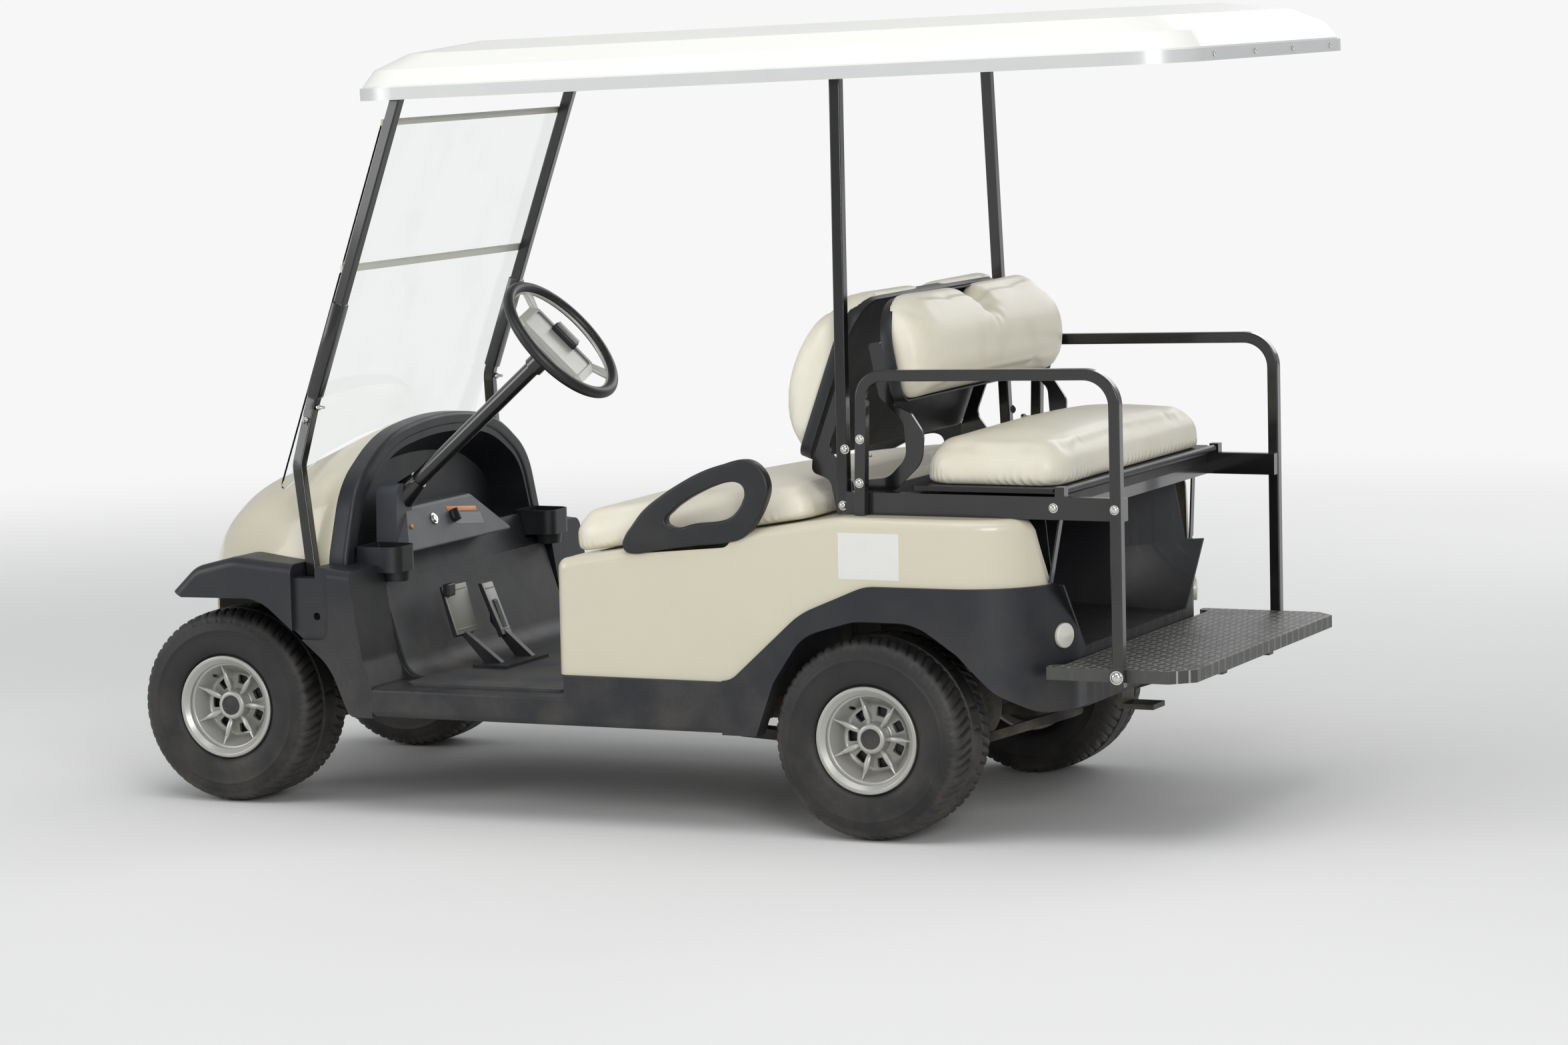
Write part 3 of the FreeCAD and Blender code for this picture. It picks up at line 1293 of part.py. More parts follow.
def roof():
    """Crowned shell with a short skirt, hollow below, with pads over the two hoops."""
    # inset from the edge, height above the lower edge
    steps = [(0, 0), (0, roof_skirt), (24, 66), (90, 100), (230, roof_crown)]
    outer = loft([roof_outline(inset, height) for inset, height in steps], True)
    inner = loft([roof_outline(inset + roof_wall, height - (roof_wall if height else 10))
                  for inset, height in steps], True)
    whole = roof_tilt(outer.copy())
    shell = roof_tilt(outer.cut(inner))
    front_x = 1454 - (front_hoop_top - 940) * front_strut_lean
    pads = []
    # the front hoop's tube lies turned by its lean, so its corner stands higher
    for x, z in ((front_x, front_hoop_top + half_tube + 4), (rear_strut_foot + 24, rear_hoop_top + half_tube + 1)):
        for y in (300.0, -300.0):
            block = box(x - 24, x + 24, y - 50, y + 50, z, z + 140)
            pads.append(block.common(whole))
    return fuse([shell] + pads)


def roof_trim():
    """Edge band round the roof."""
    outer = Part.Face(roof_outline(-trim_thickness, -2)).extrude(V(0, 0, trim_height))
    inner = Part.Face(roof_outline(0, -5)).extrude(V(0, 0, trim_height + 10))
    return roof_tilt(outer.cut(inner))


def windshield():
    """Lower pane, cut to the hood's curve, and the upper pane that folds down to it."""
    lean = front_strut_lean
    strut_face = 1454 + half_tube * math.hypot(1, lean) + 1.2
    w = front_strut_half_spacing + 10
    # low edge, high edge, outline across the cart
    panes = [
        (700.0, 1252.0, [(-w, 726, 20), (-290, 806, 240), (0, 866, 900), (290, 806, 240), (w, 726, 20),
                         (w, 1252, 8), (-w, 1252, 8)]),
        (1262.0, 1600.0, [(-w, 1262, 8), (w, 1262, 8), (w, 1600, 8), (-w, 1600, 8)]),
    ]
    solids = []
    for bottom, top, outline in panes:
        x_bottom = strut_face - (bottom - 940) * lean
        x_top = strut_face - (top - 940) * lean
        sheet = slab("XZ", -w, w, [
            (x_bottom, bottom, 0), (x_top, top, 0), (x_top + 5, top, 0), (x_bottom + 5, bottom, 0)])
        solids.append(sheet.common(slab("YZ", 1100, 1700, outline)))
    return Part.makeCompound(solids)


def main():
    """Build every piece and write it to its own file."""
    os.makedirs("parts", exist_ok=True)
    wheels()
    left_knuckle = knuckle()
    save("knuckle_left", left_knuckle)
    save("knuckle_right", mirrored(left_knuckle))
    save("tie_rod", tie_rod())
    save("front_suspension", front_suspension())
    save("steering_column", steering_column())
    save("steering_wheel", steering_wheel())
    save("chassis_frame", chassis_frame())
    save("rear_axle", rear_axle())
    save("drive_motor", drive_motor())
    save("rear_springs", rear_springs())
    save("battery_pack", battery_pack())
    save("underbody", underbody())
    save("floor_mat", floor_mat())
    save("pedals", pedals())
    save("front_cowl", front_cowl())
    save("front_bumper", front_bumper())
    save("cowl_frame", cowl_frame())
    save("dash_panel", dash_panel())
    save("cup_holders", cup_holders())
    left_fender = front_fender()
    save("fender_front_left", left_fender)
    save("fender_front_right", mirrored(left_fender))
    left_side = body_side(hip_restraint())
    save("body_side_left", left_side)
    save("body_side_right", mirrored(left_side))
    save("kick_panel", kick_panel())
    save("seat_deck", seat_deck())
    left_rear_fender = rear_fender()
    save("fender_rear_left", left_rear_fender)
    save("fender_rear_right", mirrored(left_rear_fender))
    save("bag_well", bag_well())
    save("reflectors", reflectors())
    save("front_cushion", front_cushion())
    save("front_back", front_back())
    save("rear_back", rear_back())
    save("back_shells", back_shells())
    save("seat_back_frame", seat_back_frame())
    save("hip_restraints", pair(hip_restraint()))
    save("rear_seat_frame", rear_seat_frame())
    save("grab_rails", pair(grab_rail()))
    save("foot_plate", foot_plate())
    save("cargo_deck", cargo_deck())
    save("flip_pan", flip_pan())
    save("rear_cushion", rear_cushion())
    save("front_struts", front_struts())
    save("rear_struts", rear_struts())
    save("roof", roof())
    save("roof_trim", roof_trim())
    save("windshield", windshield())


main()
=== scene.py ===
"""Golf cart: finishes, cushions, tyres and small fittings dressed over its solids."""

from __future__ import annotations

import json
import logging
import math
from dataclasses import dataclass
from enum import Enum
from typing import Callable, Sequence

import bmesh
import bpy
from mathutils import Matrix, Vector, noise

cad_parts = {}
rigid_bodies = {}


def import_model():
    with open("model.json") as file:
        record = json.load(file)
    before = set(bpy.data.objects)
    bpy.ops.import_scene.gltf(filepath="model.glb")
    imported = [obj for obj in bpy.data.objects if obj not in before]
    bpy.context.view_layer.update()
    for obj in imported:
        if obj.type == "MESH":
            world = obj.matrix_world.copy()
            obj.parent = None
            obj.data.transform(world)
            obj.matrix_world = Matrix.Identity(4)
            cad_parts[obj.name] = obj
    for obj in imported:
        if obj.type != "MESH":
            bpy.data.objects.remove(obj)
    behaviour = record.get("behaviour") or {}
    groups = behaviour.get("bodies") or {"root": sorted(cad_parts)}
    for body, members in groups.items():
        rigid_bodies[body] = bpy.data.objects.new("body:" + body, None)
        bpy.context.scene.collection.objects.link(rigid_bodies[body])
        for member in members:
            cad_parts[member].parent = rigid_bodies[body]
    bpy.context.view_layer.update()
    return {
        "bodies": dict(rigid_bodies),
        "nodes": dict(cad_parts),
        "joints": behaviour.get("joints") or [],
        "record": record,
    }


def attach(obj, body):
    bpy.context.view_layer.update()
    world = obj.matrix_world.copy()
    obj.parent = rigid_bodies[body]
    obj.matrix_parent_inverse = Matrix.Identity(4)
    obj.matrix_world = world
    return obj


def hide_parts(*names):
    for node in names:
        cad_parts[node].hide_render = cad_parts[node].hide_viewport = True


LOG = logging.getLogger("golf_cart")
MM = 0.001
REAR_AXLE = -0.567
SIDES = (1, -1)
COLUMN_TOP = (884.0, 280.0, 1084.0)
COLUMN_LEAN = 41.0
LEFT = Vector((0, 1, 0))

Colour = tuple[float, float, float, float]
Socket = bpy.types.NodeSocket
Piece = bpy.types.Object


def spot(x: float, y: float, z: float) -> Vector:
    """Place given in millimetres from the ground under the middle of the rear axle.

    Args:
        x: Forward.
        y: To the driver's side.
        z: Up.

    Returns:
        The same place in metres, in the shared frame.
    """
    return Vector((x * MM + REAR_AXLE, y * MM, z * MM))


def paint(red: float, green: float, blue: float) -> Colour:
    """Colour in linear light of a colour given as it looks on a screen, from 0 to 255."""

    def linear(value: float) -> float:
        """Linear light of one channel."""
        share = value / 255
        return share / 12.92 if share <= 0.04045 else ((share + 0.055) / 1.055) ** 2.4

    return linear(red), linear(green), linear(blue), 1.0


def ease(low: float, high: float, value: float) -> float:
    """Smooth step of a value: 0 at low, 1 at high."""
    share = min(max((value - low) / (high - low), 0.0), 1.0)
    return share * share * (3 - 2 * share)


# Modelling

def clear() -> None:
    """Leave edit mode and deselect everything."""
    if bpy.context.object is not None and bpy.context.object.mode != "OBJECT":
        bpy.ops.object.mode_set(mode="OBJECT")
    bpy.ops.object.select_all(action="DESELECT")


def pick(piece: Piece) -> None:
    """Make one piece the only selected and active one."""
    clear()
    piece.select_set(True)
    bpy.context.view_layer.objects.active = piece


def named(name: str) -> Piece:
    """Name the primitive that was just added."""
    piece = bpy.context.object
    piece.name = name
    piece.data.name = name
    return piece


def settle(piece: Piece) -> Piece:
    """Put the piece's place, turn and scale into its mesh."""
    pick(piece)
    bpy.ops.object.transform_apply(location=True, rotation=True, scale=True)
    return piece


def modify(piece: Piece, kind: str, **settings: object) -> None:
    """Add a modifier and apply it."""
    modifier = piece.modifiers.new(kind.lower(), kind)
    for key, value in settings.items():
        setattr(modifier, key, value)
    pick(piece)
    bpy.ops.object.modifier_apply(modifier=modifier.name)


def edit(piece: Piece, kind: str) -> bmesh.types.BMesh:
    """Enter edit mode with nothing selected."""
    pick(piece)
    bpy.ops.object.mode_set(mode="EDIT")
    bpy.ops.mesh.select_mode(type=kind)
    bpy.ops.mesh.select_all(action="DESELECT")
    return bmesh.from_edit_mesh(piece.data)


def choose(piece: Piece, wanted: Callable[[Vector, Vector], bool]) -> None:
    """Enter edit mode with only some faces selected."""
    mesh = edit(piece, "FACE")
    for face in mesh.faces:
        face.select = wanted(face.calc_center_median(), face.normal)
    mesh.select_flush_mode()
    bmesh.update_edit_mesh(piece.data)


def end_edit() -> None:
    """Leave edit mode."""
    bpy.ops.object.mode_set(mode="OBJECT")


def outward(piece: Piece) -> None:
    """Merge doubled points and turn all faces outwards."""
    pick(piece)
    bpy.ops.object.mode_set(mode="EDIT")
    bpy.ops.mesh.select_all(action="SELECT")
    bpy.ops.mesh.remove_doubles(threshold=0.00005)
    bpy.ops.mesh.normals_make_consistent(inside=False)
    end_edit()


def duplicate(piece: Piece, name: str, change: Matrix) -> Piece:
    """Copy a piece with a mesh of its own.

    Args:
        piece: The model.
        name: The copy's name.
        change: Turn, scale and move put into the copy's mesh.

    Returns:
        The copy.
    """
    made = bpy.data.objects.new(name, piece.data.copy())
    made.data.name = name
    bpy.context.collection.objects.link(made)
    made.data.transform(change)
    if change.determinant() < 0:
        made.data.flip_normals()
    return made


def join(pieces: Sequence[Piece], name: str) -> Piece:
    """Join pieces into one.

    Args:
        pieces: The pieces.
        name: The name of the result.

    Returns:
        The one piece.
    """
    clear()
    for piece in pieces:
        piece.select_set(True)
    bpy.context.view_layer.objects.active = pieces[0]
    if len(pieces) > 1:
        bpy.ops.object.join()
    return named(name)


def block(name: str, low: Sequence[float], high: Sequence[float], bevel: float,
          corner: float = 0.0) -> Piece:
    """Slab with rounded edges between two corners.

    Args:
        name: The piece's name.
        low: Lowest corner.
        high: Highest corner.
        bevel: Radius of its edges.
        corner: Radius of its upright edges, where larger.

    Returns:
        The piece.
    """
    low, high = Vector(low), Vector(high)
    clear()
    bpy.ops.mesh.primitive_cube_add(size=1, location=(low + high) / 2, scale=high - low)
    piece = settle(named(name))
    if corner:
        mesh = edit(piece, "EDGE")
        for edge in mesh.edges:
            edge.select = abs((edge.verts[0].co - edge.verts[1].co).normalized().z) > 0.9
        bmesh.update_edit_mesh(piece.data)
        bpy.ops.mesh.bevel(offset=corner, segments=6)
        end_edit()
    modify(piece, "BEVEL", width=bevel, segments=3, limit_method="ANGLE", angle_limit=math.radians(40))
    return piece


def bar(name: str, start: Vector, end: Vector, face: Vector, size: tuple[float, float, float],
        bevel: float) -> Piece:
    """Flat bar between two places, wider or narrower at its end.

    Args:
        name: The piece's name.
        start: Middle of one end.
        end: Middle of the other end.
        face: The way its broad side looks.
        size: Width at the start, width at the end, thickness.
        bevel: Radius of its edges.

    Returns:
        The piece.
    """
    length = (end - start).length
    wide, narrow, thick = size
    piece = block(name, (0, -wide / 2, -thick / 2), (length, wide / 2, thick / 2), bevel)
    for vertex in piece.data.vertices:
        vertex.co.y *= 1 + (narrow / wide - 1) * vertex.co.x / length
    along = (end - start).normalized()
    side = face.cross(along).normalized()
    piece.data.transform(placed(start, along, side, along.cross(side)))
    return piece


def rod(name: str, radius: float, start: Sequence[float], end: Sequence[float], sides: int = 24,
        bevel: float = 0.0) -> Piece:
    """Round bar between two places.

    Args:
        name: The piece's name.
        radius: Its radius.
        start: Centre of one end.
        end: Centre of the other end.
        sides: Number of sides.
        bevel: Radius of the edges at its ends.

    Returns:
        The piece.
    """
    start, end = Vector(start), Vector(end)
    along = end - start
    clear()
    bpy.ops.mesh.primitive_cylinder_add(
        vertices=sides, radius=radius, depth=along.length, location=(start + end) / 2,
        rotation=along.to_track_quat("Z", "Y").to_euler())
    piece = settle(named(name))
    if bevel:
        modify(piece, "BEVEL", width=bevel, segments=3, limit_method="ANGLE",
               angle_limit=math.radians(50))
    return piece


def shade(piece: Piece, degrees: float = 35.0) -> None:
    """Shade a piece smooth where its faces meet at less than an angle."""
    pick(piece)
    bpy.ops.object.shade_smooth_by_angle(angle=math.radians(degrees))


def placed(place: Vector, x_axis: Vector, y_axis: Vector, z_axis: Vector) -> Matrix:
    """Turn and move into the frame that has this origin and these axes."""
    return Matrix.Translation(place) @ Matrix((x_axis, y_axis, z_axis)).transposed().to_4x4()


def hand_over(piece: Piece, body: str, finish: str, degrees: float = 0.0) -> Piece:
    """Give a finished piece its shading, its body and its material.

    Args:
        piece: The piece.
        body: The body it moves with.
        finish: Key of its finish.
        degrees: Angle under which its faces are shaded as one; 0 leaves the shading.

    Returns:
        The same piece.
    """
    if degrees:
        shade(piece, degrees)
    piece.data.materials.clear()
    piece.data.materials.append(PAINT.get(finish))
    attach(piece, body)
    LOG.info("%s: %d faces, rides on %s", piece.name, len(piece.data.polygons), body)
    return piece


# Finishes

class Graph:
    """Adds and links the nodes of one tree."""

    def __init__(self, tree: bpy.types.NodeTree) -> None:
        """Start on a tree."""
        self.tree = tree

    def add(self, kind: str, **settings: object) -> bpy.types.Node:
        """Add a node, given its type after ShaderNode and its settings."""
        node = self.tree.nodes.new("ShaderNode" + kind)
        for key, value in settings.items():
            setattr(node, key, value)
        return node

    def feed(self, socket: Socket, value: object) -> None:
        """Link a socket to an output, or set its own value."""
        if isinstance(value, bpy.types.NodeSocket):
            self.tree.links.new(value, socket)
        else:
            socket.default_value = value

    def calc(self, operation: str, *values: object) -> Socket:
        """Output of a math node, given its operation and its inputs."""
        node = self.add("Math", operation=operation)
        for socket, value in zip(node.inputs, values):
            self.feed(socket, value)
        return node.outputs[0]

    def vector(self, operation: str, *values: object) -> bpy.types.Node:
        """Vector math node, given its operation and its inputs."""
        node = self.add("VectorMath", operation=operation)
        for socket, value in zip(node.inputs, values):
            self.feed(socket, value)
        return node

    def noise(self, place: object, scale: object, detail: float = 2.0) -> Socket:
        """Value of a noise texture, given its place, its scale and its octaves."""
        node = self.add("TexNoise")
        self.feed(node.inputs["Vector"], place)
        self.feed(node.inputs["Scale"], scale)
        node.inputs["Detail"].default_value = detail
        return node.outputs["Fac"]

    def blend(self, share: object, first: object, second: object) -> Socket:
        """Mix of two colours, given the share of the second."""
        node = self.add("Mix", data_type="RGBA")
        self.feed(node.inputs["Factor"], share)
        self.feed(node.inputs["A"], first)
        self.feed(node.inputs["B"], second)
        return node.outputs["Result"]

    def group(self, effect: Shared, **values: object) -> bpy.types.NodeOutputs:
        """Use of a shared effect, with its inputs by name."""
        node = self.add("Group", node_tree=EFFECTS.get(effect))
        for name, value in values.items():
            self.feed(node.inputs[name], value)
        return node.outputs

    def ramp(self, value: object, low: float, high: float) -> Socket:
        """Smooth step of a value."""
        node = self.add("MapRange", interpolation_type="SMOOTHSTEP")
        self.feed(node.inputs["Value"], value)
        node.inputs["From Min"].default_value = low
        node.inputs["From Max"].default_value = high
        return node.outputs["Result"]


def blank_material(name: str) -> tuple[bpy.types.Material, Graph, Socket]:
    """Start a material."""
    material = bpy.data.materials.new(name)
    material.use_nodes = True
    material.node_tree.nodes.clear()
    graph = Graph(material.node_tree)
    return material, graph, graph.add("TexCoord").outputs["Object"]


class Shared(Enum):
    """Effects that several finishes use."""

    GRAIN = "moulded_grain"
    DUST = "road_dust"
    HIDE = "vinyl_hide"
    SCUFF = "fine_scuffs"


class Effects:
    """Node groups, each built once."""

    SOCKETS = {
        Shared.GRAIN: (
            (("Place", "Vector"), ("Scale", "Float"), ("Colour", "Color"), ("Shift", "Float"),
             ("Roughness", "Float"), ("Spread", "Float")),
            (("Colour", "Color"), ("Roughness", "Float"), ("Height", "Float"))),
        Shared.DUST: (
            (("Place", "Vector"), ("Colour", "Color"), ("Dust", "Color"), ("Amount", "Float"),
             ("Reach", "Float")),
            (("Colour", "Color"), ("Mask", "Float"))),
        Shared.HIDE: ((("Place", "Vector"), ("Scale", "Float")), (("Height", "Float"),)),
        Shared.SCUFF: ((("Place", "Vector"), ("Amount", "Float")), (("Mask", "Float"),)),
        }

    def __init__(self) -> None:
        """Start with no group built."""
        self.built: dict[Shared, bpy.types.NodeTree] = {}

    def get(self, effect: Shared) -> bpy.types.NodeTree:
        """Node group of an effect.

        Args:
            effect: The effect.

        Returns:
            Its group, built at the first call.
        """
        if effect not in self.built:
            tree = bpy.data.node_groups.new(effect.value, "ShaderNodeTree")
            inputs, outputs = self.SOCKETS[effect]
            for direction, sockets in (("INPUT", inputs), ("OUTPUT", outputs)):
                for name, kind in sockets:
                    tree.interface.new_socket(name=name, in_out=direction,
                                              socket_type="NodeSocket" + kind)
            graph = Graph(tree)
            entry = tree.nodes.new("NodeGroupInput").outputs
            leave = tree.nodes.new("NodeGroupOutput").inputs
            {Shared.GRAIN: self.grain, Shared.DUST: self.dust, Shared.HIDE: self.hide,
             Shared.SCUFF: self.scuff}[effect](graph, entry, leave)
            self.built[effect] = tree
        return self.built[effect]

    @staticmethod
    def grain(graph: Graph, entry: bpy.types.NodeOutputs, leave: bpy.types.NodeInputs) -> None:
        """Fine grain, with a slow change of colour and gloss over the surface."""
        slow = graph.calc("SUBTRACT", graph.noise(entry["Place"], 4.0, 4.0), 0.5)
        tint = graph.calc("MULTIPLY_ADD", slow, entry["Shift"], 1.0)
        graph.feed(leave["Colour"], graph.vector("MULTIPLY", entry["Colour"], tint).outputs[0])
        patch = graph.calc("SUBTRACT", graph.noise(entry["Place"], 17.0, 3.0), 0.5)
        graph.feed(leave["Roughness"], graph.calc("MULTIPLY_ADD", patch, entry["Spread"],
                                                  entry["Roughness"]))
        graph.feed(leave["Height"], graph.noise(entry["Place"], entry["Scale"], 3.0))

    @staticmethod
    def dust(graph: Graph, entry: bpy.types.NodeOutputs, leave: bpy.types.NodeInputs) -> None:
        """Road dust that thins out with height above the ground."""
        height = graph.add("SeparateXYZ")
        graph.feed(height.inputs[0], entry["Place"])
        share = graph.calc("DIVIDE", height.outputs["Z"], entry["Reach"])
        low = graph.calc("SUBTRACT", 1.0, graph.ramp(share, 0.0, 1.0))
        patches = graph.ramp(graph.noise(entry["Place"], 9.0, 6.0), 0.3, 0.75)
        speckle = graph.calc("MULTIPLY_ADD", graph.noise(entry["Place"], 160.0, 2.0), 0.7, 0.4)
        mask = graph.calc("MULTIPLY", graph.calc("MULTIPLY", low, patches),
                          graph.calc("MULTIPLY", speckle, entry["Amount"]))
        graph.feed(leave["Mask"], mask)
        graph.feed(leave["Colour"], graph.blend(mask, entry["Colour"], entry["Dust"]))

    @staticmethod
    def hide(graph: Graph, entry: bpy.types.NodeOutputs, leave: bpy.types.NodeInputs) -> None:
        """Pebbled hide of the vinyl, with slow creases between."""
        cells = graph.add("TexVoronoi", feature="SMOOTH_F1")
        graph.feed(cells.inputs["Vector"], entry["Place"])
        graph.feed(cells.inputs["Scale"], entry["Scale"])
        crease = graph.noise(entry["Place"], 34.0, 5.0)
        graph.feed(leave["Height"], graph.calc("MULTIPLY_ADD", crease, 3.0, cells.outputs["Distance"]))

    @staticmethod
    def scuff(graph: Graph, entry: bpy.types.NodeOutputs, leave: bpy.types.NodeInputs) -> None:
        """Fine scuffs drawn out along the cart."""
        long = graph.vector("MULTIPLY", entry["Place"], (6.0, 60.0, 60.0)).outputs[0]
        lines = graph.ramp(graph.noise(long, 7.0, 8.0), 0.56, 0.7)
        patches = graph.ramp(graph.noise(entry["Place"], 5.0, 2.0), 0.45, 0.65)
        graph.feed(leave["Mask"], graph.calc("MULTIPLY", graph.calc("MULTIPLY", lines, patches),
                                             entry["Amount"]))


EFFECTS = Effects()
DUST = paint(150, 141, 126)
DUST_ROUGHNESS = 0.35
SCUFF_ROUGHNESS = 0.2


@dataclass
class Surface:
    """What a finish hands to the shader."""

    colour: object
    roughness: object
    height: object
    metallic: object = 0.0


@dataclass(frozen=True)
class Finish:
    """A finish: colour, gloss, grain and dust."""

    name: str
    colour: Colour
    roughness: float
    metallic: float = 0.0
    coat: float = 0.0
    scale: float = 1400.0
    depth: float = 0.05
    shift: float = 0.12
    spread: float = 0.12
    dust: float = 0.25
    reach: float = 1.1
    scuffs: float = 0.3

    def build(self) -> bpy.types.Material:
        """Make the material.

        Returns:
            The material.
        """
        material, graph, place = blank_material(self.name)
        grain = graph.group(Shared.GRAIN, Place=place, Scale=self.scale, Colour=self.colour,
                            Shift=self.shift, Roughness=self.roughness, Spread=self.spread)
        height = graph.calc("MULTIPLY", grain["Height"], self.depth)
        surface = self.detail(graph, place, Surface(grain["Colour"], grain["Roughness"], height,
                                                    self.metallic))
        dust = graph.group(Shared.DUST, Place=place, Colour=surface.colour, Dust=DUST,
                           Amount=self.dust, Reach=self.reach)
        scuff = graph.group(Shared.SCUFF, Place=place, Amount=self.scuffs)
        rough = graph.calc("MULTIPLY_ADD", dust["Mask"], DUST_ROUGHNESS, surface.roughness)
        rough = graph.calc("MULTIPLY_ADD", scuff["Mask"], SCUFF_ROUGHNESS, rough)
        bump = graph.add("Bump")
        bump.inputs["Strength"].default_value = 0.8
        bump.inputs["Distance"].default_value = 0.001
        graph.feed(bump.inputs["Height"], surface.height)
        shader = graph.add("BsdfPrincipled")
        graph.feed(shader.inputs["Base Color"], dust["Colour"])
        graph.feed(shader.inputs["Roughness"], rough)
        graph.feed(shader.inputs["Metallic"], surface.metallic)
        graph.feed(shader.inputs["Normal"], bump.outputs["Normal"])
        shader.inputs["Coat Weight"].default_value = self.coat
        shader.inputs["Coat Roughness"].default_value = 0.08
        graph.feed(graph.add("OutputMaterial").inputs["Surface"], shader.outputs["BSDF"])
        return material

    def detail(self, graph: Graph, place: Socket, surface: Surface) -> Surface:
        """Change the plain surface; a plain finish leaves it as it is."""
        return surface


@dataclass(frozen=True)
class Vinyl(Finish):
    """Stretched seat vinyl."""

    def detail(self, graph: Graph, place: Socket, surface: Surface) -> Surface:
        """Add the hide and a faint soiling."""
        hide = graph.group(Shared.HIDE, Place=place, Scale=620.0)
        surface.height = graph.calc("MULTIPLY", hide["Height"], 0.16)
        soil = graph.ramp(graph.noise(place, 7.0, 5.0), 0.5, 0.85)
        surface.colour = graph.blend(graph.calc("MULTIPLY", soil, 0.3), surface.colour,
                                     paint(196, 184, 150))
        return surface


@dataclass(frozen=True)
class Rubber(Finish):
    """Tyre rubber, dusty on the tread."""

    def detail(self, graph: Graph, place: Socket, surface: Surface) -> Surface:
        """Lighten the worn tread, which the mesh marks in an attribute."""
        worn = graph.add("Attribute", attribute_name="tread").outputs["Fac"]
        patch = graph.calc("MULTIPLY", worn, graph.ramp(graph.noise(place, 24.0, 5.0), 0.25, 0.7))
        surface.colour = graph.blend(graph.calc("MULTIPLY", patch, 0.3), surface.colour,
                                     paint(88, 85, 80))
        return surface


@dataclass(frozen=True)
class Lozenges(Finish):
    """Tread plate with raised lozenges set in two directions."""

    pitch: float = 0.030

    def detail(self, graph: Graph, place: Socket, surface: Surface) -> Surface:
        """Raise the lozenges on the flat top and lighten their crowns: partly wear, partly painted
        highlight.
        """
        parts = graph.add("SeparateXYZ")
        graph.feed(parts.inputs[0], place)
        x, y = parts.outputs["X"], parts.outputs["Y"]
        diagonal = self.pitch * 1.414
        u = graph.calc("DIVIDE", graph.calc("ADD", x, y), diagonal)
        v = graph.calc("DIVIDE", graph.calc("SUBTRACT", x, y), diagonal)
        marks = []
        for shift, long, wide in ((0.0, 0.44, 0.13), (0.5, 0.13, 0.44)):
            near = []
            for value, size in ((u, long), (v, wide)):
                cell = graph.calc("SUBTRACT", graph.calc("FRACT", graph.calc("ADD", value, shift)), 0.5)
                near.append(graph.calc("POWER", graph.calc("ABSOLUTE",
                                                           graph.calc("DIVIDE", cell, size)), 2.0))
            marks.append(graph.calc("SUBTRACT", 1.0, graph.ramp(graph.calc("ADD", *near), 0.35, 1.1)))
        raised = graph.calc("MAXIMUM", *marks)
        surface.height = graph.calc("MULTIPLY_ADD", raised, 2.6, surface.height)
        # Lighter crowns: partly wear in patches, partly a painted highlight on the raised tops.
        worn = graph.calc("MULTIPLY", raised, graph.ramp(graph.noise(place, 12.0, 3.0), 0.2, 0.5))
        surface.colour = graph.blend(graph.calc("MULTIPLY", worn, 0.75), surface.colour,
                                     paint(178, 176, 170))
        return surface


@dataclass(frozen=True)
class Ribbed(Finish):
    """Moulding or mat with straight ribs."""

    pitch: float = 0.014
    rise: float = 0.5

    def detail(self, graph: Graph, place: Socket, surface: Surface) -> Surface:
        """Add ribs across the cart's width."""
        parts = graph.add("SeparateXYZ")
        graph.feed(parts.inputs[0], place)
        wave = graph.calc("SINE", graph.calc("MULTIPLY", parts.outputs["Y"], 2 * math.pi / self.pitch))
        surface.height = graph.calc("MULTIPLY_ADD", graph.ramp(wave, -0.2, 0.6), self.rise,
                                    surface.height)
        return surface


@dataclass(frozen=True)
class Acrylic:
    """Clear sheet of the windshield, slightly hazy."""

    name: str
    tint: Colour

    def build(self) -> bpy.types.Material:
        """Make the material.

        Returns:
            The material.
        """
        material, graph, place = blank_material(self.name)
        haze = graph.ramp(graph.noise(place, 6.0, 6.0), 0.45, 0.8)
        shader = graph.add("BsdfPrincipled")
        graph.feed(shader.inputs["Base Color"],
                   graph.blend(haze, self.tint, tuple(0.96 * part for part in self.tint[:3]) + (1.0,)))
        graph.feed(shader.inputs["Roughness"], graph.calc("MULTIPLY_ADD", haze, 0.05, 0.015))
        shader.inputs["Transmission Weight"].default_value = 1.0
        shader.inputs["IOR"].default_value = 1.2
        graph.feed(graph.add("OutputMaterial").inputs["Surface"], shader.outputs["BSDF"])
        return material


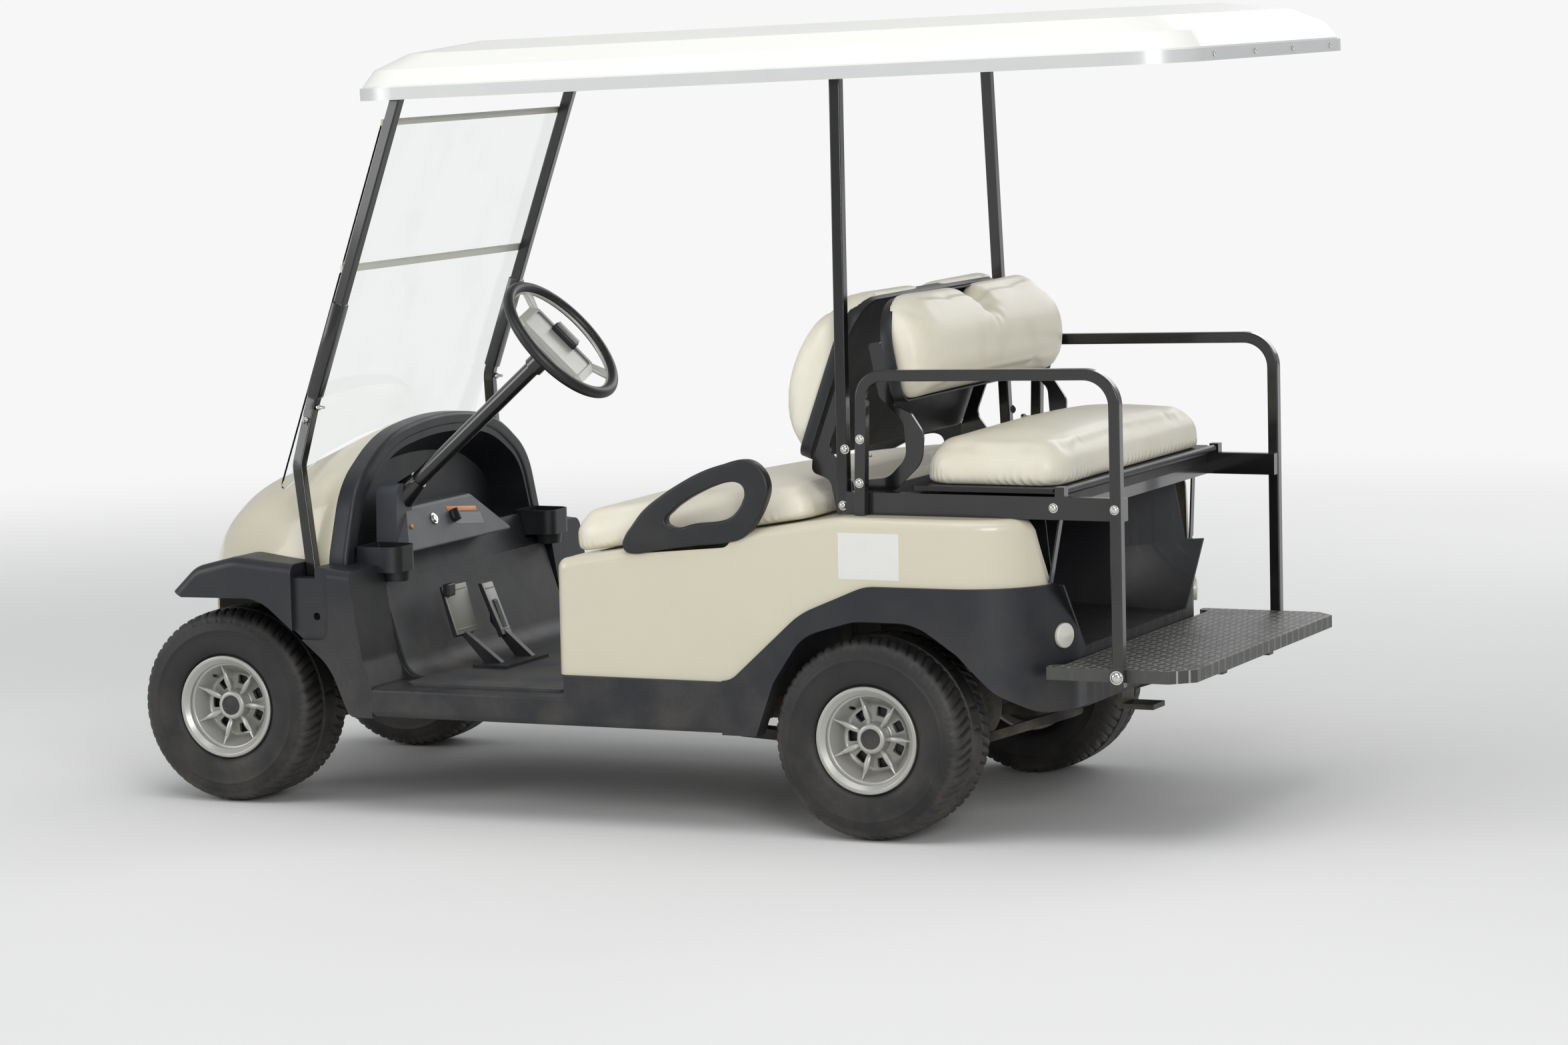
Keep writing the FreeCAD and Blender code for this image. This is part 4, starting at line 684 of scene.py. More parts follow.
FINISHES = {
    "tyre": Rubber("tyre_rubber", paint(23, 23, 25), 0.56, scale=900.0, depth=0.12, dust=0.2, reach=0.5),
    "rim": Finish("silver_paint", paint(182, 182, 178), 0.34, metallic=0.55, coat=0.15, dust=0.5,
                  reach=0.55, shift=0.15),
    "running_gear": Finish("dusty_black_iron", paint(44, 43, 42), 0.7, depth=0.3, scale=500.0,
                           dust=0.9, reach=0.7),
    "frame": Finish("satin_black_steel", paint(27, 27, 29), 0.42, dust=0.8, reach=0.8, depth=0.15),
    "motor": Finish("motor_black", paint(46, 47, 49), 0.6, dust=0.8, reach=0.7, depth=0.2),
    "battery": Finish("battery_case", paint(52, 53, 56), 0.6, depth=0.15),
    "black_plastic": Finish("black_moulding", paint(27, 29, 35), 0.4, scale=1100.0, depth=0.2,
                            dust=0.22, reach=0.7, spread=0.16),
    "mat": Ribbed("ribbed_mat", paint(52, 54, 58), 0.5, scale=900.0, depth=0.35, dust=0.3, reach=0.9,
                  rise=0.25, pitch=0.009),
    "beige": Finish("beige_moulding", paint(207, 201, 179), 0.3, coat=0.35, scale=260.0, depth=0.02,
                    shift=0.05, spread=0.08, dust=0.1, reach=0.75, scuffs=0.25),
    "dash_grey": Finish("grey_moulding", paint(74, 77, 83), 0.42, scale=1100.0, depth=0.2),
    "vinyl": Vinyl("cream_vinyl", paint(230, 225, 208), 0.4, coat=0.05, shift=0.05, dust=0.0),
    "shell": Finish("grained_black_shell", paint(28, 29, 32), 0.38, scale=800.0, depth=0.3,
                    dust=0.1),
    "tread_plate": Lozenges("tread_plate", paint(74, 74, 74), 0.4, metallic=0.3, dust=0.25,
                            reach=0.7),
    "tube": Finish("gloss_black_tube", paint(15, 15, 17), 0.22, coat=0.6, scale=300.0, depth=0.03,
                   spread=0.1, dust=0.1, reach=1.0),
    "roof": Finish("white_moulding", paint(236, 236, 231), 0.36, coat=0.3, scale=260.0, depth=0.03,
                   shift=0.04, dust=0.0),
    "trim": Finish("bright_trim", paint(212, 213, 213), 0.34, metallic=0.35, scale=200.0, depth=0.01,
                   dust=0.0, scuffs=0.1),
    "reflector": Finish("pale_reflector", paint(224, 222, 212), 0.18, coat=0.8, scale=700.0, depth=0.5,
                        dust=0.1),
    "steering": Finish("black_grip", paint(27, 27, 29), 0.38, scale=900.0, depth=0.2, dust=0.0),
    "spokes": Finish("pale_grey_spokes", paint(184, 185, 181), 0.36, metallic=0.25, scale=500.0,
                     depth=0.04, dust=0.0),
    "pale_edge": Finish("pale_sheet_edge", paint(206, 206, 196), 0.3, depth=0.02, dust=0.0),
    "grey_label": Finish("grey_label", paint(128, 131, 135), 0.5, depth=0.02, dust=0.0),
    "windshield": Acrylic("clear_acrylic", (0.95, 0.97, 0.965, 1.0)),
    "chrome": Finish("chrome_hardware", paint(212, 212, 208), 0.16, metallic=1.0, scale=900.0,
                     depth=0.04, dust=0.15, reach=1.0),
    # dark_cap is also the colour of the disc of painted shade inside the wheels.
    "dark_cap": Finish("dark_cap", paint(38, 39, 42), 0.35, depth=0.1, dust=0.3, reach=0.5),
    "pad_metal": Finish("pedal_metal", paint(150, 150, 148), 0.4, metallic=0.6, depth=0.15, dust=0.4,
                        reach=0.8),
    "amber": Finish("amber_mark", paint(214, 128, 38), 0.35, dust=0.0),
    "white_mark": Finish("blank_label", paint(222, 222, 218), 0.4, depth=0.02, dust=0.15, reach=1.4),
    "well": Ribbed("ribbed_well", paint(34, 35, 39), 0.5, scale=1100.0, depth=0.2, pitch=0.055,
                   rise=0.9, dust=0.2, reach=0.7),
    }


class Paintshop:
    """Builds each finish when it is first asked for."""

    def __init__(self) -> None:
        """Start with no material built."""
        self.made: dict[str, bpy.types.Material] = {}

    def get(self, name: str) -> bpy.types.Material:
        """Material of a finish."""
        if name not in self.made:
            self.made[name] = FINISHES[name].build()
        return self.made[name]

    def dress_nodes(self, frame: dict) -> None:
        """Give every solid the material of its slot.
        """
        slots = {part["node"]: part["material_slot"] for part in frame["record"]["subparts"]}
        special = {"bag_well": "well", "cargo_deck": "frame", "flip_pan": "frame"}
        for name, node in frame["nodes"].items():
            material = self.get(special.get(name, slots[name]))
            if not node.data.materials:
                node.data.materials.append(material)
            for slot in node.material_slots:
                slot.material = material
        LOG.info("%d solids dressed", len(frame["nodes"]))


PAINT = Paintshop()


# Tyres and hub caps

@dataclass
class Tyre:
    """Low wide tyre with a cut tread, a scalloped shoulder and a ribbed sidewall."""

    pitches: int = 60
    per_pitch: int = 8
    groove: float = 5.0
    siping: float = 2.6
    scallop: float = 1.8
    tread_foot: float = 201.0
    sweep: float = 0.13
    # half width of the middle rib, outer side of the round groove, inner side of the scallops
    middle_rib: float = 24.0
    groove_side: float = 34.0
    scallop_side: float = 98.5
    # half of the section, from the crown's middle to the rim side: radius, offset
    section: tuple[tuple[float, float], ...] = (
        (228.3, 0), (228.3, 9), (228.0, 18), (227.8, 25), (222.2, 27.5), (222.2, 32.5), (227.6, 35),
        (227.3, 43), (226.9, 51), (226.3, 60), (225.5, 69), (224.1, 78), (221.4, 86), (217.0, 92.4),
        (211.5, 97.0), (205.5, 100.2), (202.6, 101.4), (199.5, 102.3), (190, 105.0), (183.5, 106.2),
        (182, 107.4), (179.5, 107.5), (178, 106.9), (166, 107.6), (152, 106.8), (140, 104.6),
        (132, 101.2), (126, 95.5), (122.5, 90.7), (108.5, 90.4), (107.2, 60), (107.2, 0))

    def build(self, name: str) -> Piece:
        """Shape the tyre round the Y axis at the origin.

        Args:
            name: The piece's name.

        Returns:
            The tyre.
        """
        ring = list(self.section) + [(r, -y) for r, y in self.section[-2:0:-1]]
        columns = self.pitches * self.per_pitch
        clear()
        bpy.ops.mesh.primitive_torus_add(
            major_radius=1.0, minor_radius=0.25, major_segments=columns, minor_segments=len(ring),
            rotation=(math.pi / 2, 0, 0))
        tyre = settle(named(name))
        marks = []
        for vertex in tyre.data.vertices:
            co = vertex.co
            turn = math.atan2(co.z, co.x)
            row = round(math.atan2(co.y, math.hypot(co.x, co.z) - 1) / (2 * math.pi) * len(ring))
            column = round(turn / (2 * math.pi) * columns) % columns
            radius, offset = ring[row % len(ring)]
            side = abs(offset)
            cut = self.cut(column, side) if radius > self.tread_foot else 0.0
            radius -= cut
            offset -= math.copysign(cut * ease(88, 100, side) * 0.8, offset)
            if side < 103 and radius > 190:
                turn += self.sweep * (side / 100) ** 1.6
            vertex.co = Vector((radius * math.cos(turn), offset, radius * math.sin(turn))) * MM
            marks.append(ease(198, 212, radius) * (0.45 if cut > 1 else 1.0))
        tyre.data.attributes.new("tread", "FLOAT", "POINT").data.foreach_set("value", marks)
        outward(tyre)
        shade(tyre, 32)
        return tyre

    def cut(self, column: int, side: float) -> float:
        """Depth of the tread's cut.

        Args:
            column: Number of the column round the tyre.
            side: Distance from the middle plane, in millimetres.

        Returns:
            The depth in millimetres.
        """
        if side < self.middle_rib:
            return self.siping if column % (2 * self.per_pitch) == 5 else 0.0
        if side < self.groove_side:
            return 0.0
        if side > self.scallop_side:
            return self.scallop if column % 3 == 0 else 0.0
        fade = 1 - 0.8 * ease(80, 94, side)
        return self.groove * fade if column % self.per_pitch in (0, 1) else 0.0


@dataclass
class Wheels:
    """Tyres, blank hub caps and spokes on the four wheels."""

    places: tuple[tuple[str, float, float], ...] = (
        ("front_left", 1664.0, 438.0), ("front_right", 1664.0, -438.0),
        ("rear_left", 0.0, 489.0), ("rear_right", 0.0, -489.0))
    axle_height: float = 228.5
    cap_radius: float = 22.0
    cap_face: float = 72.4
    spokes: int = 7
    # each wheel's tread is turned this much further than the last one's, in degrees
    phase: float = 17.0

    def build(self) -> None:
        """Make one tyre, one cap and one set of spokes, and copy them to the wheels."""
        tyre, cap, spokes = Tyre().build("tyre_model"), self.cap(), self.spoke_set()
        for number, (place, x, y) in enumerate(self.places):
            turn = Matrix.Rotation(0 if y > 0 else math.pi, 4, "Z")
            still = Matrix.Translation(spot(x, y, self.axle_height)) @ turn
            change = still @ Matrix.Rotation(math.radians(self.phase * number), 4, "Y")
            body = "wheel_" + place
            worn = hand_over(duplicate(tyre, "treaded_tyre_" + place, change), body, "tyre", 32)
            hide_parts("tyre_" + place)
            # The cap piece also holds the dark disc of painted shade behind the rim's windows.
            hand_over(duplicate(cap, "hub_cap_and_shade_disc_" + place, still), body, "dark_cap")
            hand_over(duplicate(spokes, "wheel_spokes_" + place, still), body, "rim")
        for model in (tyre, cap, spokes):
            bpy.data.objects.remove(model)

    def spoke_set(self) -> Piece:
        """Round-backed spokes from the hub to the rim.

        Returns:
            All spokes of one wheel as one piece.
        """
        made = []
        middle, half_length = 60.5, 28.5
        for number in range(self.spokes):
            clear()
            bpy.ops.mesh.primitive_uv_sphere_add(segments=24, ring_count=18, radius=1,
                                                 rotation=(0, math.pi / 2, 0))
            spoke = settle(named("spoke"))
            for vertex in spoke.data.vertices:
                co = vertex.co
                share = (co.x + 1) / 2
                girth = 8.6 - 4.6 * share ** 1.5
                rise = 56 + 17 * share - 8 * share ** 4
                vertex.co = Vector((middle + half_length * co.x, rise + girth * 0.9 * co.y,
                                    girth * co.z)) * MM
            turn = Matrix.Rotation(2 * math.pi * (number + 0.5) / self.spokes, 4, "Y")
            spoke.data.transform(turn)
            made.append(spoke)
        every = join(made, "spokes_model")
        shade(every, 180)
        return every

    def cap(self) -> Piece:
        """Blank cap with a shallow dish and a raised ring, and a dark disc behind the windows: painted
        shade inside the wheel.

        Returns:
            The cap.
        """
        face = self.cap_face * MM
        cap = rod("cap_model", self.cap_radius * MM, (0, face, 0), (0, face + 0.0012, 0), 40)
        for inset, depth in ((0.002, 0.0), (0.0008, -0.0007), (0.008, 0.0), (0.002, 0.0006)):
            choose(cap, lambda centre, normal: normal.y > 0.9 and centre.xz.length < 0.002)
            bpy.ops.mesh.inset(thickness=inset, depth=depth)
            end_edit()
        # Dark disc deep in the rim, behind its windows: painted shade for the inside of the wheel.
        shade_disc = rod("shade_disc", 0.080, (0, 0.014, 0), (0, 0.020, 0), 48, 0.002)
        cap = join([cap, shade_disc], "cap_model")
        shade(cap, 30)
        return cap


# Seats

PRESSURE = 4.0
CLOTH_FRAMES = 16
SLIP_KEPT = 0.3
SINKING_KEPT = 0.15
HELD_DEPTH = 0.03
FOOT_ROUND = 0.012
SIDE_PULL = 0.003
END_PULL = 0.004
GATHER_PITCH = 0.019
GATHER_REACH = 0.024
DIP_WIDTH = 0.042
DIP_REACH = 0.10


@dataclass
class Pad:
    """A stuffed pad on a base plane: its frame, its sizes and how it is stuffed.

    Attributes:
        name: Name of the piece.
        node: The plain solid that it stands for.
        body: The body that it rides on.
        foot: Middle of its lower edge.
        across: Direction of its width.
        along: Direction of its length.
        half_width: Half of its width.
        length: Its length.
        depth: Its thickness where it is thickest.
        corners: Radius of its corners at the foot and at the head.
        edge: Radius of the edge of its face.
        crown: How far the face's middle stands up.
        swell: Room left at the sides for the stuffing.
        profile: Share of the thickness at the foot, the middle and the head.
        dip: Depth of the dip in its top edge.
        gather: Depth of the gathers along its base.
        cap: Largest swelling that is kept.
        voxel: Size of its mesh before it is refined.
    """

    name: str
    node: str
    body: str
    foot: Vector
    across: Vector
    along: Vector
    half_width: float
    length: float
    depth: float
    corners: tuple[float, float]
    edge: float
    crown: float
    swell: float
    profile: tuple[float, float, float] = (1.0, 1.0, 1.0)
    dip: float = 0.0
    gather: float = 0.0
    cap: float = 0.012
    voxel: float = 0.009

    @property
    def out(self) -> Vector:
        """Direction in which the pad's face looks."""
        return self.across.cross(self.along)

    @property
    def seat(self) -> Matrix:
        """Turn and move from the pad's own frame to the cart's."""
        return placed(self.foot, self.across, self.along, self.out)

    def thickness(self, share: float) -> float:
        """Thickness along the pad."""
        low, middle, high = self.profile
        if share < 0.45:
            return self.depth * (middle - (middle - low) * (1 - share / 0.45) ** 2)
        return self.depth * (middle - (middle - high) * ((share - 0.45) / 0.55) ** 2)

    def form(self, a: float, b: float, c: float) -> Vector:
        """Place of a point of the cube from -1 to 1 on the pad.

        Args:
            a: Across.
            b: Along.
            c: Through the thickness.

        Returns:
            The point in the pad's own frame.
        """
        share = (b + 1) / 2
        deep = self.thickness(share)
        height = (c + 1) / 2 * deep
        inset = self.swell
        if height > deep - self.edge:
            inset += self.edge - math.sqrt(max(self.edge ** 2 - (height - deep + self.edge) ** 2, 0))
        if height < FOOT_ROUND:
            inset += FOOT_ROUND - math.sqrt(max(FOOT_ROUND ** 2 - (FOOT_ROUND - height) ** 2, 0))
        if abs(a) > 0.999:
            inset += SIDE_PULL * (1 - b * b)
        if abs(b) > 0.999:
            inset += END_PULL * (1 - a * a)
        half_w, half_l = self.half_width - inset, self.length / 2 - inset
        radius = max(self.corners[0 if b < 0 else 1] - inset, 0.01)
        x, y = a * half_w, b * half_l
        over_x, over_y = abs(x) - half_w + radius, abs(y) - half_l + radius
        if over_x > 0 and over_y > 0:
            reach = max(over_x, over_y)
            size = math.hypot(over_x, over_y)
            x = math.copysign(half_w - radius + over_x / size * reach, x)
            y = math.copysign(half_l - radius + over_y / size * reach, y)
        if c > 0.999:
            height += self.crown * ((1 - a * a) * (1 - b * b)) ** 0.7
        return Vector((x, y + self.length / 2, height))

    def build(self) -> Piece:
        """Shape, stuff and dress the pad.

        Returns:
            The pad.
        """
        clear()
        bpy.ops.mesh.primitive_cube_add(size=2)
        pad = named(self.name)
        bpy.ops.object.mode_set(mode="EDIT")
        bpy.ops.mesh.select_all(action="SELECT")
        bpy.ops.mesh.subdivide(number_cuts=31)
        end_edit()
        for vertex in pad.data.vertices:
            vertex.co = self.form(*vertex.co)
        modify(pad, "REMESH", mode="VOXEL", voxel_size=self.voxel)
        self.stuff(pad)
        modify(pad, "SMOOTH", factor=0.5, iterations=5)
        modify(pad, "SUBSURF", levels=1, render_levels=1)
        self.tailor(pad)
        pad.data.transform(self.seat)
        hand_over(pad, self.body, "vinyl", 180)
        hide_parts(self.node)
        return pad

    def stuff(self, pad: Piece) -> None:
        """Let the cover swell under pressure, held at its base.

        Args:
            pad: The pad in its own frame.
        """
        before = [(vertex.co.copy(), vertex.normal.copy()) for vertex in pad.data.vertices]
        cloth = pad.modifiers.new("stuffing", "CLOTH")
        cloth.settings.quality = 4
        cloth.settings.use_pressure = True
        cloth.settings.uniform_pressure_force = PRESSURE
        cloth.settings.effector_weights.gravity = 0.0
        for frame in range(1, CLOTH_FRAMES + 1):
            bpy.context.scene.frame_set(frame)
        pick(pad)
        bpy.ops.object.modifier_apply(modifier=cloth.name)
        bpy.context.scene.frame_set(1)
        for vertex, (start, normal) in zip(pad.data.vertices, before):
            move = vertex.co - start
            swell = move.dot(normal)
            slip = (move - normal * swell) * SLIP_KEPT
            kept = min(swell, self.cap) if swell > 0 else SINKING_KEPT * max(swell, -self.cap)
            vertex.co = start + (slip + normal * kept) * ease(0.0, HELD_DEPTH, start.z)

    def tailor(self, pad: Piece) -> None:
        """Pull in the gathers along the base and the dip in the top edge.

        Args:
            pad: The pad in its own frame.
        """
        normals = [vertex.normal.copy() for vertex in pad.data.vertices]
        for vertex, normal in zip(pad.data.vertices, normals):
            co = vertex.co
            if self.gather and abs(normal.z) < 0.8:
                run = co.x * 0.8 + co.y
                beat = 2.6 * noise.noise(Vector((run * 24, 3.0, self.depth * 9)))
                fold = math.sin(run * 2 * math.pi / GATHER_PITCH + beat)
                loose = 0.5 + 0.9 * noise.noise(Vector((run * 9, 8.0, 1.0)))
                fade = math.exp(-(co.z / GATHER_REACH) ** 2) * ease(0.001, 0.006, co.z)
                co = co + normal * (self.gather * max(loose, 0.12) * fade * (fold - 0.4))
            if self.dip:
                top = self.length - co.y
                near = math.exp(-(co.x / DIP_WIDTH) ** 2)
                co = co - Vector((0, self.dip * near * ease(DIP_REACH, 0.0, top), 0))
                well = math.exp(-(co.x / 0.030) ** 2 - ((top - 0.05) / 0.032) ** 2)
                co = co - Vector((0, 0, 0.75 * self.dip * well * ease(0.012, 0.03, co.z)))
                reach = math.hypot(co.x, top - 0.045)
                pucker = math.sin(math.atan2(top - 0.045, co.x) * 9 + 1.1)
                ring = math.exp(-((reach - 0.052) / 0.022) ** 2)
                co = co + normal * (0.0012 * pucker * ring)
            vertex.co = Vector((co.x, co.y, max(co.z, 0.0005)))


@dataclass
class Shell:
    """Black moulded tray behind a backrest, with a rim round the pad and a recessed back.

    Attributes:
        name: Name of the piece.
        foot: Middle of the backrest's lower edge.
        head: Middle of its upper edge.
        side: 1 where the pad looks backwards, -1 where it looks forwards.
        half_width: Half of the tray's width.
        corner: Radius of its upper corners.
        back: How far its floor stands behind the pad's base.
        lap: How far its wall reaches past the pad's base.
        wall: Thickness of the moulding.
        short: How much shorter it is than the backrest.
        foot_corner: Radius of its lower corners.
        rim: Width of the rim round the recessed back.
        step: Depth of that recess.
    """

    name: str
    foot: Vector
    head: Vector
    side: int
    half_width: float = 0.4585
    corner: float = 0.118
    back: float = 0.0135
    lap: float = 0.018
    wall: float = 0.0042
    short: float = 0.012
    foot_corner: float = 0.034
    rim: float = 0.006
    step: float = 0.004

    def build(self) -> Piece:
        """Shape the tray in its own frame and set it in its place.

        Returns:
            The tray.
        """
        along = (self.head - self.foot).normalized()
        across = Vector((0, -self.side, 0))
        out = across.cross(along)
        length = (self.head - self.foot).length - self.short
        clear()
        bpy.ops.mesh.primitive_plane_add(size=1, location=(0, length / 2, -self.back))
        tray = named(self.name)
        tray.scale = (2 * self.half_width, length, 1)
        settle(tray)
        for low, radius in ((True, self.foot_corner), (False, self.corner)):
            mesh = edit(tray, "VERT")
            for vertex in mesh.verts:
                vertex.select = (vertex.co.y < 0.001) if low else (vertex.co.y > length - 0.001)
            mesh.select_flush_mode()
            bmesh.update_edit_mesh(tray.data)
            bpy.ops.mesh.bevel(offset=radius, segments=12, affect="VERTICES")
            end_edit()
        choose(tray, lambda centre, normal: True)
        bpy.ops.mesh.inset(thickness=self.rim, depth=0.0)
        bpy.ops.mesh.select_all(action="INVERT")
        bpy.ops.transform.translate(value=(0, 0, self.step))
        end_edit()
        edit(tray, "EDGE")
        bpy.ops.mesh.select_non_manifold()
        rise = (0, 0, self.back + self.lap - self.step)
        bpy.ops.mesh.extrude_region_move(TRANSFORM_OT_translate={"value": rise})
        end_edit()
        outward(tray)
        self.face_back(tray)
        modify(tray, "SOLIDIFY", thickness=self.wall, offset=-1.0, use_even_offset=True)
        modify(tray, "BEVEL", width=0.0014, segments=2, limit_method="ANGLE",
               angle_limit=math.radians(40))
        tray.data.transform(placed(self.foot, across, along, out))
        shade(tray, 35)
        return tray

    @staticmethod
    def face_back(tray: Piece) -> None:
        """Turn the open tray's faces so that its floor looks backwards."""
        floor = min(tray.data.polygons, key=lambda face: face.center.z + (0 if face.area > 0.05 else 1))
        if floor.normal.z > 0:
            tray.data.flip_normals()


@dataclass
class Seats:
    """Cushions, backrests and their shells."""

    front_foot: Vector
    front_head: Vector
    rear_foot: Vector
    rear_head: Vector

    def build(self) -> None:
        """Make the four pads and the two shells."""
        front_along = (self.front_head - self.front_foot).normalized()
        rear_along = (self.rear_head - self.rear_foot).normalized()
        bench_rear, bench_front = spot(140, 0, 715.5), spot(752, 0, 617.6)
        slope = (bench_front - bench_rear).normalized()
        Pad("front_bench_pad", "front_cushion", "cart", bench_rear, -LEFT, slope,
            half_width=0.546, length=(bench_front - bench_rear).length, depth=0.078,
            corners=(0.05, 0.08), edge=0.046, crown=0.014, swell=0.004,
            profile=(0.84, 0.98, 1.0), gather=0.0024).build()
        Pad("rear_seat_pad", "rear_cushion", "flip_seat", spot(-85, 0, 790.2), LEFT,
            Vector((-1, 0, 0)), half_width=0.483, length=0.345, depth=0.086,
            corners=(0.085, 0.07), edge=0.052, crown=0.022, swell=0.004, gather=0.0036).build()
        Pad("front_back_pad", "front_back", "cart", self.front_foot, LEFT, front_along,
            half_width=0.4535, length=(self.front_head - self.front_foot).length, depth=0.100,
            corners=(0.07, 0.118), edge=0.050, crown=0.008, swell=0.002,
            profile=(0.62, 1.0, 0.60), dip=0.034).build()
        Pad("rear_back_pad", "rear_back", "cart", self.rear_foot, -LEFT, rear_along,
            half_width=0.4535, length=(self.rear_head - self.rear_foot).length, depth=0.080,
            corners=(0.05, 0.118), edge=0.044, crown=0.004, swell=0.002,
            profile=(0.72, 1.0, 0.64), dip=0.034).build()
        shells = [Shell("shell_a", self.front_foot, self.front_head, side=-1).build(),
                  Shell("shell_b", self.rear_foot, self.rear_head, side=1).build()]
        both = hand_over(join(shells, "seat_back_shells"), "cart", "shell")
        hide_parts("back_shells")


# Fittings

@dataclass
class Bolts:
    """Domed bolts and wing nuts over the frame."""

    dome: float = 0.0085
    # seat of each head on the left side, and the head's size
    left_heads: tuple[tuple[float, float, float, float], ...] = (
        (74, 501.8, 867, 1.0), (78, 508.2, 742, 1.0), (19, 544.6, 894, 1.0), (22, 544.6, 797, 1.0),
        (-426, 518.9, 750, 1.0), (-577, 544.6, 752, 1.0), (-577, 544.6, 386, 1.45))
    # seat of each wing nut on the left side, its size, and whether it looks backwards
    left_nuts: tuple[tuple[float, float, float, float, bool], ...] = (
        (1440.6, 451, 933, 1.0, True), (1458, 470.0, 906, 0.9, False), (40, 480.0, 852, 1.0, True))

    def head(self) -> Piece:
        """One domed head on a washer, looking up along Z at the origin.

        Returns:
            The head.
        """
        head = rod("bolt_model", self.dome * 1.25, (0, 0, 0), (0, 0, 0.0014), 20)
        for grow, rise in ((-0.0021, 0.0), (0.0, 0.0016), (-0.0012, 0.0022), (-0.0026, 0.0014),
                           (-0.0022, 0.0003)):
            choose(head, lambda centre, normal: normal.z > 0.95 and centre.xy.length < 0.001)
            bpy.ops.mesh.inset(thickness=-grow if grow else 0.00001, depth=rise)
            end_edit()
        shade(head, 50)
        return head

    def wing(self) -> Piece:
        """One wing nut on its stud, looking up along Z at the origin.

        Returns:
            The wing nut.
        """
        parts = [rod("stud", 0.0032, (0, 0, 0), (0, 0, 0.021), 14, 0.0006),
                 rod("nut", 0.0072, (0, 0, 0), (0, 0, 0.009), 18, 0.0016)]
        for side in SIDES:
            ear = block("ear", (-0.0016, 0.002, 0.002), (0.0016, 0.017, 0.0125), 0.0015)
            lift = Matrix.Rotation(math.radians(38), 4, "X")
            ear.data.transform(Matrix.Rotation(0 if side > 0 else math.pi, 4, "Z") @ lift)
            parts.append(ear)
        wing = join(parts, "wing_model")
        shade(wing, 40)
        return wing

    def build(self) -> None:
        """Set the heads and wing nuts on both sides of the cart."""
        head, wing = self.head(), self.wing()
        made, nuts = [], []
        for side in SIDES:
            look = Matrix.Rotation(-side * math.pi / 2, 4, "X")
            back = Matrix.Rotation(-math.pi / 2, 4, "Y")
            for x, y, z, size in self.left_heads:
                place = Matrix.Translation(spot(x, side * y, z)) @ look @ Matrix.Scale(size, 4)
                made.append(duplicate(head, "head", place))
            for x, y, z, size, backwards in self.left_nuts:
                turn = (back if backwards else look) @ Matrix.Scale(size, 4)
                nuts.append(duplicate(wing, "nut", Matrix.Translation(spot(x, side * y, z)) @ turn))
        hand_over(join(made, "frame_bolt_heads"), "cart", "chrome")
        hand_over(join(nuts, "windshield_wing_nuts"), "cart", "chrome")
        for model in (head, wing):
            bpy.data.objects.remove(model)


